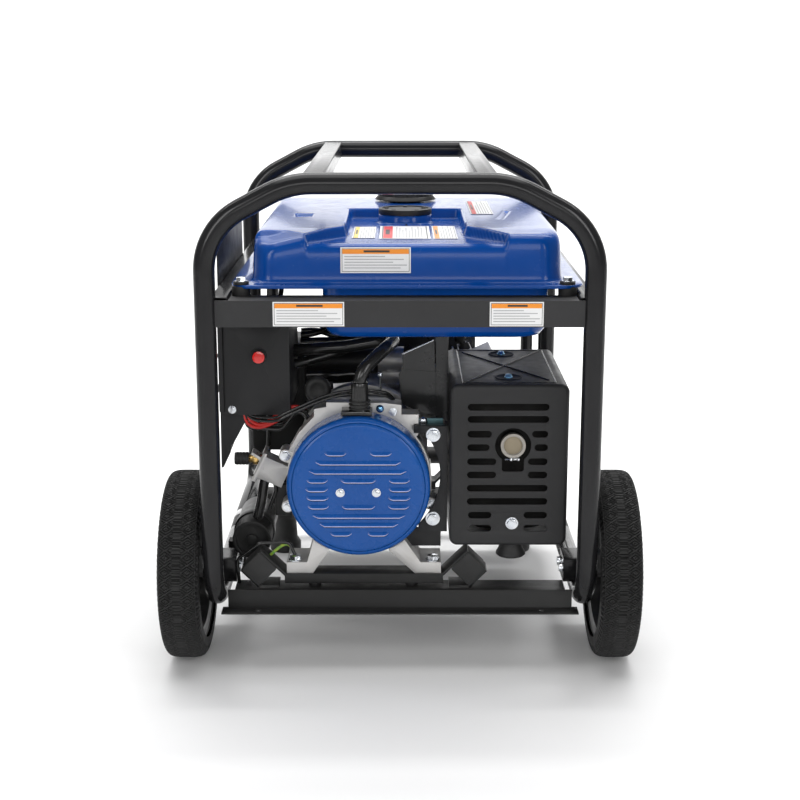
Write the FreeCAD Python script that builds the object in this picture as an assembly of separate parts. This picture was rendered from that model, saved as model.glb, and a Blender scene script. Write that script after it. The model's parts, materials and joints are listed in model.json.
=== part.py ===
"""Portable open-frame generator, one STEP file per physical piece.

Millimetres. +X is right as seen from the alternator end, +Y runs from the alternator end to the
recoil-start end, +Z is up. The origin is the centre of the outline on the ground.
"""
import FreeCAD, Part
import math
import os

V = FreeCAD.Vector
X_AXIS = V(1, 0, 0)
Y_AXIS = V(0, 1, 0)
Z_AXIS = V(0, 0, 1)

# ---- driving dimensions -------------------------------------------------------------------
TUBE_R = 15.0
TUBE_WALL = 2.0
HOOP_SPACING = 660.0
HOOP_HALF = 268.0
HOOP_TOP = 716.0
SHOULDER_Z = 654.0
TOP_HALF = 150.0
RAIL_Z = 109.0

WHEEL_R = 140.0
AXLE_SETBACK = 100.0
GRIP_R = 16.0
NEAR = -(HOOP_SPACING + GRIP_R - (WHEEL_R - AXLE_SETBACK)) / 2
FAR = NEAR + HOOP_SPACING
AXLE_Y = NEAR + AXLE_SETBACK
AXLE_R = 8.0
RUN_CLEARANCE = 0.05

SHEET = 2.5
BAR_LOW, BAR_TOP = 520.0, 557.0
CHANNEL_LOW, CHANNEL_TOP = 91.5, 121.0
NEAR_CHANNEL_Y = NEAR + 35
FAR_CHANNEL_Y = NEAR + 552
SLOT_X, SLOT_LENGTH, SLOT_WIDTH = 207.0, 10.0, 7.0

FOOT_X = (-154.0, 48.0)
FOOT_TOP = 160.0
SHAFT_X, SHAFT_Z = -60.0, 277.0
COVER_R = 104.0
COVER_FACE_Y = NEAR + 33
COVER_DEPTH = 46.0
BELL_R, BELL_BORE = 106.0, 86.0
LUG_R, LUG_ANGLES = 114.0, (64, 162, 202, 340)
BELL_Y = COVER_FACE_Y + COVER_DEPTH
STATOR_Y = BELL_Y + 34
STATOR_LENGTH = 150.0
CASE_Y = STATOR_Y + STATOR_LENGTH + 20
CASE_LENGTH = 180.0
FLYWHEEL_Y = CASE_Y + CASE_LENGTH + 10
SHROUD_END_Y = FLYWHEEL_Y + 50

HEAD_TILT = 25.0
DIPSTICK_X, DIPSTICK_Y = -120.0, CASE_Y + 20

CRADLE_LOW, CRADLE_TOP = 128.0, 143.0
ISOLATOR_X = (-206.0, 100.0)
ISOLATOR_Z = 150.5
ISOLATOR_SIDE = 36.0
NEAR_CRADLE_Y = NEAR + 44
FAR_CRADLE_Y = FAR_CHANNEL_Y - 40
CRADLE_DEPTH = 36.0

TANK_X = 10.0
TANK_HALF = 219.0
TANK_FLANGE_HALF = 244.0
TANK_NEAR = NEAR + 45
TANK_FAR = NEAR + 600
TANK_FLANGE_Z = 570.0
FLANGE_THICKNESS = 2.4
TANK_TOP_Z = 643.0
TANK_WALL = 3.0
POCKET_Z = 627.0
PAN_LOW = 486.0
PAN_X = (-112.0, 213.0)
GAUGE_X, GAUGE_Y, GAUGE_Z = 8.0, NEAR + 317, 640.5
GAUGE_R = 41.5
CAP_X, CAP_Y, CAP_Z = 9.0, NEAR + 480, 646.0
CAP_R = 51.0
NECK_R = 30.0

GUARD_X0, GUARD_X1 = 72.0, 243.0
GUARD_Y0, GUARD_Y1 = NEAR + 50, NEAR + 300
GUARD_Z0, GUARD_Z1 = 184.0, 426.0
PORT_X, PORT_Z = 163.0, 336.0

BOX_X0, BOX_X1 = -257.0, -161.0
BOX_Y0, BOX_Y1 = NEAR + 100, NEAR + 280
BOX_Z0, BOX_Z1 = 369.0, 512.0
PANEL_X = -264.5


# ---- helpers ------------------------------------------------------------------------------
def box(x0, x1, y0, y1, z0, z1):
    return Part.makeBox(x1 - x0, y1 - y0, z1 - z0, V(x0, y0, z0))


def rod(radius, start, axis, length):
    return Part.makeCylinder(radius, length, V(*start), axis)


def ring(outer, inner, start, axis, length):
    return rod(outer, start, axis, length).cut(rod(inner, start, axis, length))


def cone(r0, r1, start, axis, length):
    return Part.makeCone(r0, r1, length, V(*start), axis)


def fuse(shapes):
    result = shapes[0].multiFuse(shapes[1:]) if len(shapes) > 1 else shapes[0]
    return result.removeSplitter()


def cut(shape, *tools):
    for tool in tools:
        shape = shape.cut(tool)
    return shape


def group(shapes):
    """Separate solids that share one node."""
    solids = []
    for shape in shapes:
        solids += shape.Solids
    return Part.makeCompound(solids)


def soften(shape, radius, axis):
    """Round the straight edges that run along an axis."""
    edges = []
    for edge in shape.Edges:
        if isinstance(edge.Curve, Part.Line) and abs(edge.Curve.Direction.dot(axis)) > 0.999:
            edges.append(edge)
    return shape.makeFillet(radius, edges)


def prism(points, y0, y1):
    """An outline in X and Z, extruded along Y."""
    corners = [V(x, y0, z) for x, z in points]
    face = Part.Face(Part.makePolygon(corners + corners[:1]))
    return face.extrude(V(0, y1 - y0, 0))


def plate(points, z0, z1):
    """An outline in X and Y, extruded upwards."""
    corners = [V(x, y, z0) for x, y in points]
    face = Part.Face(Part.makePolygon(corners + corners[:1]))
    return face.extrude(V(0, 0, z1 - z0))


def wedge(points, x0, x1):
    """An outline in Y and Z, extruded along X."""
    corners = [V(x0, y, z) for y, z in points]
    face = Part.Face(Part.makePolygon(corners + corners[:1]))
    return face.extrude(V(x1 - x0, 0, 0))


def revolve(profile, centre, axis):
    """A closed outline of points, turned once round an axis through centre."""
    corners = [V(*p) for p in profile]
    face = Part.Face(Part.makePolygon(corners + corners[:1]))
    return face.revolve(V(*centre), axis, 360)


def bent_path(points, radii):
    """Straight runs through the points, joined by tangent arcs."""
    points = [V(*p) for p in points]
    edges = []
    start = points[0]
    for before, corner, after, radius in zip(points, points[1:], points[2:], radii):
        into = (corner - before).normalize()
        out = (after - corner).normalize()
        turn = into.getAngle(out)
        reach = radius * math.tan(turn / 2)
        arc_start = corner - into * reach
        arc_end = corner + out * reach
        bulge = (out - into).normalize()
        centre = corner + bulge * (radius / math.cos(turn / 2))
        middle = centre - bulge * radius
        edges.append(Part.LineSegment(start, arc_start).toShape())
        edges.append(Part.Arc(arc_start, middle, arc_end).toShape())
        start = arc_end
    edges.append(Part.LineSegment(start, points[-1]).toShape())
    return Part.Wire(edges)


def sweep(path, radius):
    first = path.Edges[0]
    along = first.tangentAt(first.FirstParameter)
    circle = Part.makeCircle(radius, path.Vertexes[0].Point, along)
    return path.makePipeShell([Part.Wire(circle)], True, False)


def hex_bolt(point, axis, size, shank):
    """Flanged hexagon head standing on point, shank running the other way."""
    head_r = size * 0.95
    head_h = size * 0.6
    washer_h = size * 0.18
    centre = V(*point)
    polygon = []
    side = axis.cross(Z_AXIS if abs(axis.z) < 0.9 else X_AXIS).normalize()
    other = axis.cross(side)
    for i in range(6):
        a = math.radians(60 * i)
        across = side * (head_r * math.cos(a)) + other * (head_r * math.sin(a))
        polygon.append(centre + axis * washer_h + across)
    head = Part.Face(Part.makePolygon(polygon + polygon[:1])).extrude(axis * head_h)
    washer = rod(size * 1.15, point, axis, washer_h)
    body = rod(size / 2, point, axis * -1, shank)
    return fuse([head, washer, body])


def folded_strip(points, thickness, y0, y1):
    """A plate of even thickness folded along a line in X and Z."""
    pieces = []
    for (xa, za), (xb, zb) in zip(points, points[1:]):
        length = math.hypot(xb - xa, zb - za)
        nx = -(zb - za) / length * thickness / 2
        nz = (xb - xa) / length * thickness / 2
        outline = [(xa + nx, za + nz), (xb + nx, zb + nz), (xb - nx, zb - nz), (xa - nx, za - nz)]
        pieces.append(prism(outline, y0, y1))
    for x, z in points[1:-1]:
        pieces.append(rod(thickness / 2, (x, y0, z), Y_AXIS, y1 - y0))
    return fuse(pieces)


# ---- frame --------------------------------------------------------------------------------
def hoop_path(plane_y, middle_y):
    points = [
        (-HOOP_HALF, middle_y, RAIL_Z), (-HOOP_HALF, plane_y, RAIL_Z),
        (-HOOP_HALF, plane_y, SHOULDER_Z), (-TOP_HALF, plane_y, HOOP_TOP),
        (TOP_HALF, plane_y, HOOP_TOP), (HOOP_HALF, plane_y, SHOULDER_Z),
        (HOOP_HALF, plane_y, RAIL_Z), (HOOP_HALF, middle_y, RAIL_Z),
    ]
    return bent_path(points, [65, 95, 125, 125, 95, 65])


def make_hoops():
    middle = (NEAR + FAR) / 2
    solid = {}
    hollow = {}
    for name, plane in (("near_hoop", NEAR), ("far_hoop", FAR)):
        path = hoop_path(plane, middle)
        solid[name] = sweep(path, TUBE_R)
        hollow[name] = solid[name].cut(sweep(path, TUBE_R - TUBE_WALL))
    return solid, hollow


def square_tube(x0, x1, y0, y1, z0, z1, wall):
    outer = soften(box(x0, x1, y0, y1, z0, z1), 3.0, Y_AXIS)
    return outer.cut(box(x0 + wall, x1 - wall, y0, y1, z0 + wall, z1 - wall))


def frame_rails(hoops):
    rails = []
    for x in (-118, 118):
        rails.append(square_tube(x - 15, x + 15, NEAR, FAR, 702, 729, 2))
    for x0 in (-262, 247):
        rails.append(square_tube(x0, x0 + 25, NEAR, FAR, 527, 560.5, 2))
    solids = []
    for rail in rails:
        rail = cut(rail, *hoops.values())
        solids.append(max(rail.Solids, key=lambda s: s.Volume))
    return solids


def cross_bars(hoops, rails):
    bars = []
    for face_y, inward in ((NEAR - 6, 1), (FAR - 12, -1)):
        y0, y1 = sorted((face_y, face_y + inward * SHEET))
        web = box(-262, 262, y0, y1, BAR_LOW, BAR_TOP)
        y0, y1 = sorted((face_y, face_y + inward * 14))
        lip = box(-250, 250, y0, y1, BAR_LOW, BAR_LOW + SHEET)
        y0, y1 = sorted((face_y, face_y + inward * 46))
        shelf = box(-236, 246, y0, y1, BAR_TOP - SHEET, BAR_TOP)
        bar = cut(fuse([web, lip, shelf]), *hoops.values())
        bar = cut(bar, *rails)
        bars.append(max(bar.Solids, key=lambda s: s.Volume))
    return bars


def slot(x, y, z, length, width, depth):
    half = (length - width) / 2
    middle = box(x - half, x + half, y - width / 2, y + width / 2, z - depth, z + depth)
    ends = [rod(width / 2, (x + s * half, y, z - depth), Z_AXIS, 2 * depth) for s in (-1, 1)]
    return fuse([middle] + ends)


def base_channels():
    channels = []
    for web_y, outward in ((NEAR_CHANNEL_Y, -1), (FAR_CHANNEL_Y, 1)):
        y0, y1 = sorted((web_y, web_y - outward * SHEET))
        web = box(-252, 252, y0, y1, CHANNEL_LOW, CHANNEL_TOP)
        y0, y1 = sorted((web_y, web_y - outward * 42))
        top = box(-242, 242, y0, y1, CHANNEL_TOP - SHEET, CHANNEL_TOP)
        y0, y1 = sorted((web_y - outward * SHEET, web_y + outward * 22))
        foot = box(-260, 260, y0, y1, CHANNEL_LOW, CHANNEL_LOW + SHEET)
        bracket_y = (NEAR_CRADLE_Y, FAR_CRADLE_Y)[outward > 0]
        lower = []
        for x, side in zip(ISOLATOR_X, (1, -1)):
            reach = (ISOLATOR_SIDE / 2 + 2) * math.sqrt(0.5)
            cx, cz = x - side * reach, ISOLATOR_Z - reach
            drop = cz - CHANNEL_TOP - 2
            plate = [(cx - side * 12, cz + 12), (cx + side * drop, cz - drop), (cx + side * 42, cz - drop)]
            lower.append(folded_strip(plate, 4, bracket_y, bracket_y + CRADLE_DEPTH))
        channel = fuse([web, top, foot] + lower)
        if outward < 0:
            slots = [slot(s * SLOT_X, web_y - 11, CHANNEL_LOW, SLOT_LENGTH, SLOT_WIDTH, 6) for s in (-1, 1)]
            channel = cut(channel, *slots)
        channels.append(channel)
    return channels


def cradle_bars():
    bars = []
    for y0 in (NEAR_CRADLE_Y, FAR_CRADLE_Y):
        y1 = y0 + CRADLE_DEPTH
        wings = []
        ends = []
        for x, side in zip(ISOLATOR_X, (1, -1)):
            reach = (ISOLATOR_SIDE / 2 + 2) * math.sqrt(0.5)
            cx, cz = x + side * reach, ISOLATOR_Z + reach
            drop = cz - CRADLE_TOP + 3
            low = (cx + side * drop, cz - drop)
            wings.append(folded_strip([(cx - side * 13, cz + 13), low], 4, y0, y1))
            ends.append(cx + side * (drop - 2))
        beam = box(ends[0], ends[1], y0, y1, CRADLE_LOW, CRADLE_TOP)
        hollow = box(ends[0] + 12, ends[1] - 12, y0 + 3, y1 - 3, CRADLE_LOW, CRADLE_TOP - 4)
        bars.append(fuse([beam.cut(hollow)] + wings))
    return bars


def rubber_isolators():
    blocks = []
    half = ISOLATOR_SIDE / 2
    for y0 in (NEAR_CRADLE_Y, FAR_CRADLE_Y):
        for x in ISOLATOR_X:
            block = box(-half, half, 0, CRADLE_DEPTH, -half, half)
            block = soften(block, 3.0, Y_AXIS)
            block.rotate(V(0, 0, 0), Y_AXIS, 45)
            block.translate(V(x, y0, ISOLATOR_Z))
            blocks.append(block)
        for x in (-126, 17):
            blocks.append(rod(9, (x, y0 + CRADLE_DEPTH / 2, CHANNEL_TOP), Z_AXIS, 4))
    return blocks


def rubber_feet():
    feet = []
    for x in (-209, 209):
        profile = [(x, FAR_CHANNEL_Y + 11, 0), (x + 27, FAR_CHANNEL_Y + 11, 0),
                   (x + 28, FAR_CHANNEL_Y + 11, 3),
                   (x + 28, FAR_CHANNEL_Y + 11, 14), (x + 22, FAR_CHANNEL_Y + 11, 24),
                   (x + 20, FAR_CHANNEL_Y + 11, 60), (x + 23, FAR_CHANNEL_Y + 11, 66),
                   (x + 23, FAR_CHANNEL_Y + 11, CHANNEL_LOW), (x, FAR_CHANNEL_Y + 11, CHANNEL_LOW)]
        feet.append(revolve(profile, (x, FAR_CHANNEL_Y + 11, 0), Z_AXIS))
    return feet


def stub_axles(hoops):
    pieces = []
    for side in (-1, 1):
        x0, x1 = sorted((side * 243, side * 284))
        block = soften(box(x0, x1, AXLE_Y - 26, AXLE_Y + 26, 118, 156), 5, X_AXIS)
        axle = rod(AXLE_R, (side * 284, AXLE_Y, WHEEL_R), X_AXIS * side, 57)
        piece = cut(fuse([block, axle]), *hoops.values())
        pieces.append(max(piece.Solids, key=lambda s: s.Volume))
    return pieces


# ---- wheels -------------------------------------------------------------------------------
RIM_SEAT = [(291, 110), (294, 110), (298, 101), (336, 101), (340, 110), (343, 110)]
RIM_INSIDE = [(343, 107), (341.5, 107), (338, 98), (296, 98), (292.5, 107), (291, 107)]


def wheel_rim(side):
    """Pressed rim: barrel, dished disc with round windows, and a hub on the axle."""
    r_hub = AXLE_R + RUN_CLEARANCE
    c = (0, AXLE_Y, WHEEL_R)

    def at(x, r):
        return (side * x, AXLE_Y, WHEEL_R + r)

    barrel = revolve([at(x, r) for x, r in RIM_SEAT + RIM_INSIDE], c, X_AXIS)
    disc = [at(312, 20), at(322, 20), at(326, 60), at(318, 100), at(314, 100), at(321, 60)]
    disc = revolve(disc, c, X_AXIS)
    hub = revolve([at(289, r_hub), at(335, r_hub), at(335, 22), at(289, 22)], c, X_AXIS)
    windows = []
    for i in range(5):
        a = math.radians(72 * i)
        centre = (side * 300, AXLE_Y + 72 * math.sin(a), WHEEL_R + 72 * math.cos(a))
        windows.append(rod(15, centre, X_AXIS * side, 40))
    bore = rod(r_hub, (side * 280, AXLE_Y, WHEEL_R), X_AXIS * side, 70)
    return cut(fuse([barrel, cut(disc, *windows), hub]), bore)


def tyre(side):
    """Solid rubber tyre seated on the rim."""
    c = (0, AXLE_Y, WHEEL_R)
    outline = [(287, 112), (288, 128), (292, 136), (300, 139.3), (316.5, 140), (333, 139.3), (341, 136),
               (345, 128), (346, 112)] + RIM_SEAT[::-1]
    return revolve([(side * x, AXLE_Y, WHEEL_R + r) for x, r in outline], c, X_AXIS)


# ---- alternator and engine ----------------------------------------------------------------
def alternator_cover():
    y0, y1 = COVER_FACE_Y, BELL_Y
    cx, cz = SHAFT_X, SHAFT_Z

    def dome(r, start):
        return [(cx, start, cz), (cx, start, cz + r - 9), (cx, start + 3, cz + r - 3),
                (cx, start + 9, cz + r), (cx, y1, cz + r), (cx, y1, cz)]

    outer = revolve(dome(COVER_R, y0), (cx, 0, cz), Y_AXIS)
    inner = revolve(dome(COVER_R - 1.6, y0 + 1.6), (cx, 0, cz), Y_AXIS)
    return outer.cut(inner)


def end_bell():
    """Cast end ring with a bearing seat, lugs and two splayed feet."""
    cx, cz = SHAFT_X, SHAFT_Z
    y0, y1 = BELL_Y, STATOR_Y
    body = ring(BELL_R, BELL_BORE, (cx, y0, cz), Y_AXIS, y1 - y0)
    shoulder = prism([(-163, 320), (-148, 347), (-125, 372), (-125, 383), (-107, 386), (-107, 393),
                      (-22, 392), (2, 389), (2, 375), (27, 375), (27, 345), (0, 320)], y0, y1)
    shoulder = cut(shoulder, rod(BELL_BORE, (cx, NEAR, cz), Y_AXIS, 200))
    seat = ring(34, 20.05, (cx, y0 + 8, cz), Y_AXIS, 20)
    spokes = []
    for i in range(4):
        a = 45 + 90 * i
        spoke = box(30, 90, 2, 11, -9, 9)
        spoke.rotate(V(0, 0, 0), Y_AXIS, a)
        spoke.translate(V(cx, y0, cz))
        spokes.append(spoke)
    lugs = []
    for a in LUG_ANGLES:
        x = cx + LUG_R * math.cos(math.radians(a))
        z = cz + LUG_R * math.sin(math.radians(a))
        web = box(BELL_R - 6, LUG_R, 2, y1 - y0, -9, 9)
        web.rotate(V(0, 0, 0), Y_AXIS, -a)
        web.translate(V(cx, y0, cz))
        lugs += [rod(9, (x, y0 + 2, z), Y_AXIS, y1 - y0 - 2), web]
    legs = []
    for side, x_foot in zip((-1, 1), FOOT_X):
        xi = cx + side * 52
        outline = [(xi - side * 12, 200), (xi + side * 14, 196), (x_foot - side * 18, FOOT_TOP),
                   (x_foot + side * 12, FOOT_TOP),
                   (x_foot + side * 12, CRADLE_TOP), (x_foot - side * 26, CRADLE_TOP), (xi - side * 8, 178)]
        if side < 0:
            outline = outline[::-1]
        legs.append(prism(outline, NEAR_CRADLE_Y + 2, y0 + 30))
    legs = [cut(leg, rod(COVER_R + 2, (cx, NEAR, cz), Y_AXIS, BELL_Y - NEAR)) for leg in legs]
    legs = [cut(leg, rod(90, (cx, NEAR, cz), Y_AXIS, 200)) for leg in legs]
    return fuse([body, shoulder, seat] + spokes + lugs + legs)


def stator():
    """Laminated core with a winding ring at each end."""
    pieces = [ring(95, 62, (SHAFT_X, STATOR_Y, SHAFT_Z), Y_AXIS, STATOR_LENGTH)]
    for y in (STATOR_Y - 14, STATOR_Y + STATOR_LENGTH):
        pieces.append(ring(84, 66, (SHAFT_X, y, SHAFT_Z), Y_AXIS, 14))
    return pieces


def rotor():
    return ring(61, 13, (SHAFT_X, STATOR_Y + 4, SHAFT_Z), Y_AXIS, STATOR_LENGTH - 8)


def crankshaft():
    """One line of shafts: bearing journal, rotor shaft, crank webs and pin, flywheel taper."""
    c = (SHAFT_X, BELL_Y + 8, SHAFT_Z)
    journal = rod(20, c, Y_AXIS, 20)
    shaft = rod(13, c, Y_AXIS, CASE_Y - BELL_Y + 20)
    middle = CASE_Y + CASE_LENGTH / 2
    main_a = rod(17.5, (SHAFT_X, CASE_Y - 8, SHAFT_Z), Y_AXIS, middle - 18 - CASE_Y + 8)
    main_b = rod(17.5, (SHAFT_X, middle + 18, SHAFT_Z), Y_AXIS, CASE_Y + CASE_LENGTH - middle - 14)
    tail = rod(11, (SHAFT_X, middle + 18, SHAFT_Z), Y_AXIS, FLYWHEEL_Y + 30 - middle - 18)
    webs = [rod(52, (SHAFT_X, y, SHAFT_Z), Y_AXIS, 16) for y in (middle - 34, middle + 18)]
    pin = rod(16, (SHAFT_X + 20, middle - 20, SHAFT_Z + 24), Y_AXIS, 40)
    return fuse([journal, shaft, main_a, main_b, tail] + webs + [pin])


def along_cylinder(shape):
    """Turn a shape built along +Z at the shaft to the slant of the cylinder."""
    shape.rotate(V(0, 0, 0), Y_AXIS, 90 - HEAD_TILT)
    shape.translate(V(SHAFT_X, CASE_Y + CASE_LENGTH / 2, SHAFT_Z))
    return shape


def crankcase(starter):
    """Hollow crankcase with its alternator-side adapter flange, cylinder neck and mounting feet."""
    y0, y1 = CASE_Y, CASE_Y + CASE_LENGTH
    outer = soften(box(-140, 44, y0, y1, 172, 352), 22, Y_AXIS)
    cavity = rod(66, (SHAFT_X, y0 + 12, SHAFT_Z), Y_AXIS, CASE_LENGTH - 24)
    flange = ring(100, 88, (SHAFT_X, y0 - 20, SHAFT_Z), Y_AXIS, 20)
    plate = rod(100, (SHAFT_X, y0 - 4, SHAFT_Z), Y_AXIS, 6)
    feet = [box(x, x + 40, y1 - 30, FAR_CRADLE_Y + 30, CRADLE_TOP, 176) for x in (-150, 14)]
    feet += [box(-140, 44, FAR_CRADLE_Y - 50, FAR_CRADLE_Y + 30, CRADLE_TOP, CRADLE_TOP + 8)]
    neck = along_cylinder(box(-44, 44, -44, 44, 62, 130))
    throat = along_cylinder(rod(36, (0, 0, 50), Z_AXIS, 90))
    hollow = cut(fuse([outer, neck]), cavity, throat)
    body = fuse([hollow, flange, cut(plate, rod(60, (SHAFT_X, y0 - 20, SHAFT_Z), Y_AXIS, 18))] + feet)
    journal = rod(17.5 + RUN_CLEARANCE, (SHAFT_X, y0 - 30, SHAFT_Z), Y_AXIS, CASE_LENGTH + 60)
    dip = rod(4.05, (DIPSTICK_X, DIPSTICK_Y, 320), Z_AXIS, 40)
    return cut(body, journal, dip, starter)


def cylinder_block():
    """Finned barrel and head, leaning towards the muffler side."""
    pieces = [box(-42, 42, -42, 42, 130, 206)]
    for i in range(7):
        z = 136 + 10 * i
        pieces.append(box(-54, 54, -54, 54, z, z + 3))
    pieces.append(box(-50, 50, -50, 50, 200, 216))
    return along_cylinder(fuse(pieces))


def valve_cover():
    cover = soften(box(-40, 40, -44, 44, 216, 246), 10, Z_AXIS)
    return along_cylinder(cover)


def spark_plug():
    plug = fuse([rod(9, (-50, 0, 208), X_AXIS * -1, 12), rod(5, (-62, 0, 208), X_AXIS * -1, 10),
                 rod(9.5, (-68, 0, 208), X_AXIS * -1, 20)])
    return along_cylinder(plug)


def flywheel(crank):
    c = (SHAFT_X, FLYWHEEL_Y, SHAFT_Z)
    disc = rod(88, c, Y_AXIS, 14)
    fins = []
    for i in range(16):
        fin = box(52, 86, 14, 30, -1.5, 1.5)
        fin.rotate(V(0, 0, 0), Y_AXIS, 360 / 16 * i)
        fin.translate(V(*c))
        fins.append(fin)
    cup = ring(40, 34, (SHAFT_X, FLYWHEEL_Y + 14, SHAFT_Z), Y_AXIS, 14)
    return cut(fuse([disc, cup] + fins), crank)


def fan_shroud():
    """Blower housing round the flywheel, with a duct towards the cylinder."""
    y0 = CASE_Y + CASE_LENGTH
    drum = rod(106, (SHAFT_X, y0, SHAFT_Z), Y_AXIS, SHROUD_END_Y - y0)
    duct = box(SHAFT_X, 128, y0, SHROUD_END_Y - 12, SHAFT_Z + 6, SHAFT_Z + 150)
    shell = fuse([drum, duct])
    inside = fuse([rod(103.5, (SHAFT_X, y0 + 2.5, SHAFT_Z), Y_AXIS, 80),
                   box(SHAFT_X, 125.5, y0 + 2.5, SHROUD_END_Y - 14.5, SHAFT_Z + 8.5, SHAFT_Z + 147.5)])
    hole = rod(70, (SHAFT_X, y0 - 5, SHAFT_Z), Y_AXIS, 12)
    return cut(shell, inside, hole)


def recoil_cover():
    """Dished cover with a ring of slots, a pulley post and the rope's guide."""
    y0 = SHROUD_END_Y
    c = (SHAFT_X, y0, SHAFT_Z)
    dish = (SHAFT_X, y0 + 6, SHAFT_Z)
    outer = fuse([rod(106, c, Y_AXIS, 6), cone(98, 84, dish, Y_AXIS, 26)])
    inner = fuse([rod(95, c, Y_AXIS, 6), cone(95.5, 82, dish, Y_AXIS, 23.5)])
    vents = []
    for i in range(18):
        vent = box(50, 76, 20, 50, -3, 3)
        vent.rotate(V(0, 0, 0), Y_AXIS, 20 * i)
        vent.translate(V(SHAFT_X, y0, SHAFT_Z))
        vents.append(vent)
    post = rod(8, (SHAFT_X, y0 + 6, SHAFT_Z), Y_AXIS, 24)
    guide = ring(9, 4.5, (SHAFT_X + 42, y0 + 16, SHAFT_Z + 78), Z_AXIS, 30)
    shell = cut(outer, inner, *vents)
    bore = rod(4.5, (SHAFT_X + 42, y0 + 16, SHAFT_Z), Z_AXIS, 120)
    return cut(fuse([shell, post, guide]), bore)


def recoil_pulley():
    y0 = SHROUD_END_Y + 8
    wheel = fuse([rod(45, (SHAFT_X, y0, SHAFT_Z), Y_AXIS, 4), rod(38, (SHAFT_X, y0, SHAFT_Z), Y_AXIS, 14),
                  rod(45, (SHAFT_X, y0 + 12, SHAFT_Z), Y_AXIS, 4)])
    return cut(wheel, rod(8 + RUN_CLEARANCE, (SHAFT_X, y0 - 5, SHAFT_Z), Y_AXIS, 40))


def recoil_handle():
    """Moulded pull on the end of its rope, resting on the guide."""
    x, y, z = SHAFT_X + 42, SHROUD_END_Y + 16, SHAFT_Z + 108.5
    grip = soften(box(x - 32, x + 32, y - 9, y + 9, z, z + 20), 7, Y_AXIS)
    rope = rod(3, (x, y, z - 55), Z_AXIS, 60)
    return fuse([grip, rope])


def starter_motor():
    x, z = -122, 205
    y0 = CASE_Y + 22
    body = rod(27, (x - 44, y0, z), Y_AXIS, 88)
    nose = rod(12, (x - 44, y0 + 88, z), Y_AXIS, 10)
    solenoid = rod(14, (x - 44, y0 + 8, z + 40), Y_AXIS, 60)
    link = box(x - 50, x - 38, y0 + 14, y0 + 60, z + 20, z + 34)
    return fuse([body, nose, solenoid, link])


def air_cleaner():
    """Air box with its intake elbow, hollow inside."""
    y0, y1 = BOX_Y1 + 14, BOX_Y1 + 150
    outer = soften(box(-236, -152, y0, y1, 262, 430), 10, Y_AXIS)
    inner = box(-233, -155, y0 + 3, y1 - 3, 265, 427)
    elbow = rod(21, (-154, y0 + 66, 396), X_AXIS, 118)
    bore = rod(17, (-170, y0 + 66, 396), X_AXIS, 140)
    return cut(fuse([outer.cut(inner), elbow]), bore)


def air_filter():
    y0, y1 = BOX_Y1 + 14, BOX_Y1 + 150
    return box(-232, -156, y0 + 8, y1 - 8, 290, 340)


def carburettor():
    y = BOX_Y1 + 80
    body = fuse([rod(22, (-36, y, 396), X_AXIS, 42), box(-30, 2, y - 20, y + 20, 366, 380),
                 rod(19, (-14, y, 360), Z_AXIS, 26)])
    return cut(body, rod(12, (-40, y, 396), X_AXIS, 60))


def choke_lever():
    y = BOX_Y1 + 80
    return fuse([rod(3, (-22, y, 418.5), Z_AXIS, 16), box(-25, -19, y, y + 48, 434, 437),
                 rod(7, (-22, y + 48, 431), Z_AXIS, 10)])


def output_boot():
    """Rubber boot and plate where the output leads leave the alternator."""
    return fuse([box(-84, -40, COVER_FACE_Y + 12, BELL_Y - 2, SHAFT_Z + COVER_R + 0.4, SHAFT_Z + COVER_R + 6),
                 cone(13.5, 12, (-58, COVER_FACE_Y + 28, SHAFT_Z + COVER_R + 6), Z_AXIS, 40)])


def wiring(control):
    """Output boot and conduit, panel leads and earth lead, each held at both ends."""
    y = COVER_FACE_Y + 28
    boot = output_boot()
    conduit = sweep(bent_path([(-58, y, SHAFT_Z + COVER_R + 46), (-55, y, 444), (-22, y + 30, 470),
                               (-4, y + 110, 470), (-80, y + 134, 452), (BOX_X1, y + 134, 446)],
                              [30, 34, 34, 34]), 9.5)
    conduit = cut(conduit, control)
    leads = []
    for x, dy, low in ((-214, 32, 350), (-228, 22, 344)):
        y = BOX_Y0 + dy
        route = [(x, y, BOX_Z0), (x, y, low), (-176, y, low - 3), (-150, y, 376),
                 (SHAFT_X - 66, y, SHAFT_Z + 66)]
        lead = sweep(bent_path(route, [10, 14, 12]), 3)
        leads.append(cut(lead, rod(95, (SHAFT_X, y - 20, SHAFT_Z), Y_AXIS, 40)))
    y = NEAR_CRADLE_Y + 6
    route = [(FOOT_X[0], y, 170), (FOOT_X[0] - 8, y, 190), (-206, y, 188), (-240, y + 10, 160),
             (-238, y + 12, CHANNEL_TOP + 1)]
    earth = sweep(bent_path(route, [10, 16, 16]), 2.5)
    return [boot, cut(conduit, boot)] + [cut(lead, control) for lead in leads] + [earth]


PLATE_BOLT_X, PLATE_BOLT_Z = 48, (349, 222)


def support_plate():
    """Plate between alternator and muffler guard, with a round cut-out and two tabs to the bell."""
    y0 = BELL_Y - 16
    plate = prism([(27, 202), (69, 202), (69, 361.5), (25, 361.5)], y0, y0 + 5)
    plate = cut(plate, rod(103.5, (-45, NEAR, 287), Y_AXIS, 300))
    tabs = [box(20, 66, y0 + 5, BELL_Y, 350, 361.5), box(4, 60, y0 + 5, y0 + 9, 178, 206)]
    return cut(fuse([plate] + tabs), rod(COVER_R + 2, (SHAFT_X, NEAR, SHAFT_Z), Y_AXIS, 300))


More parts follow.
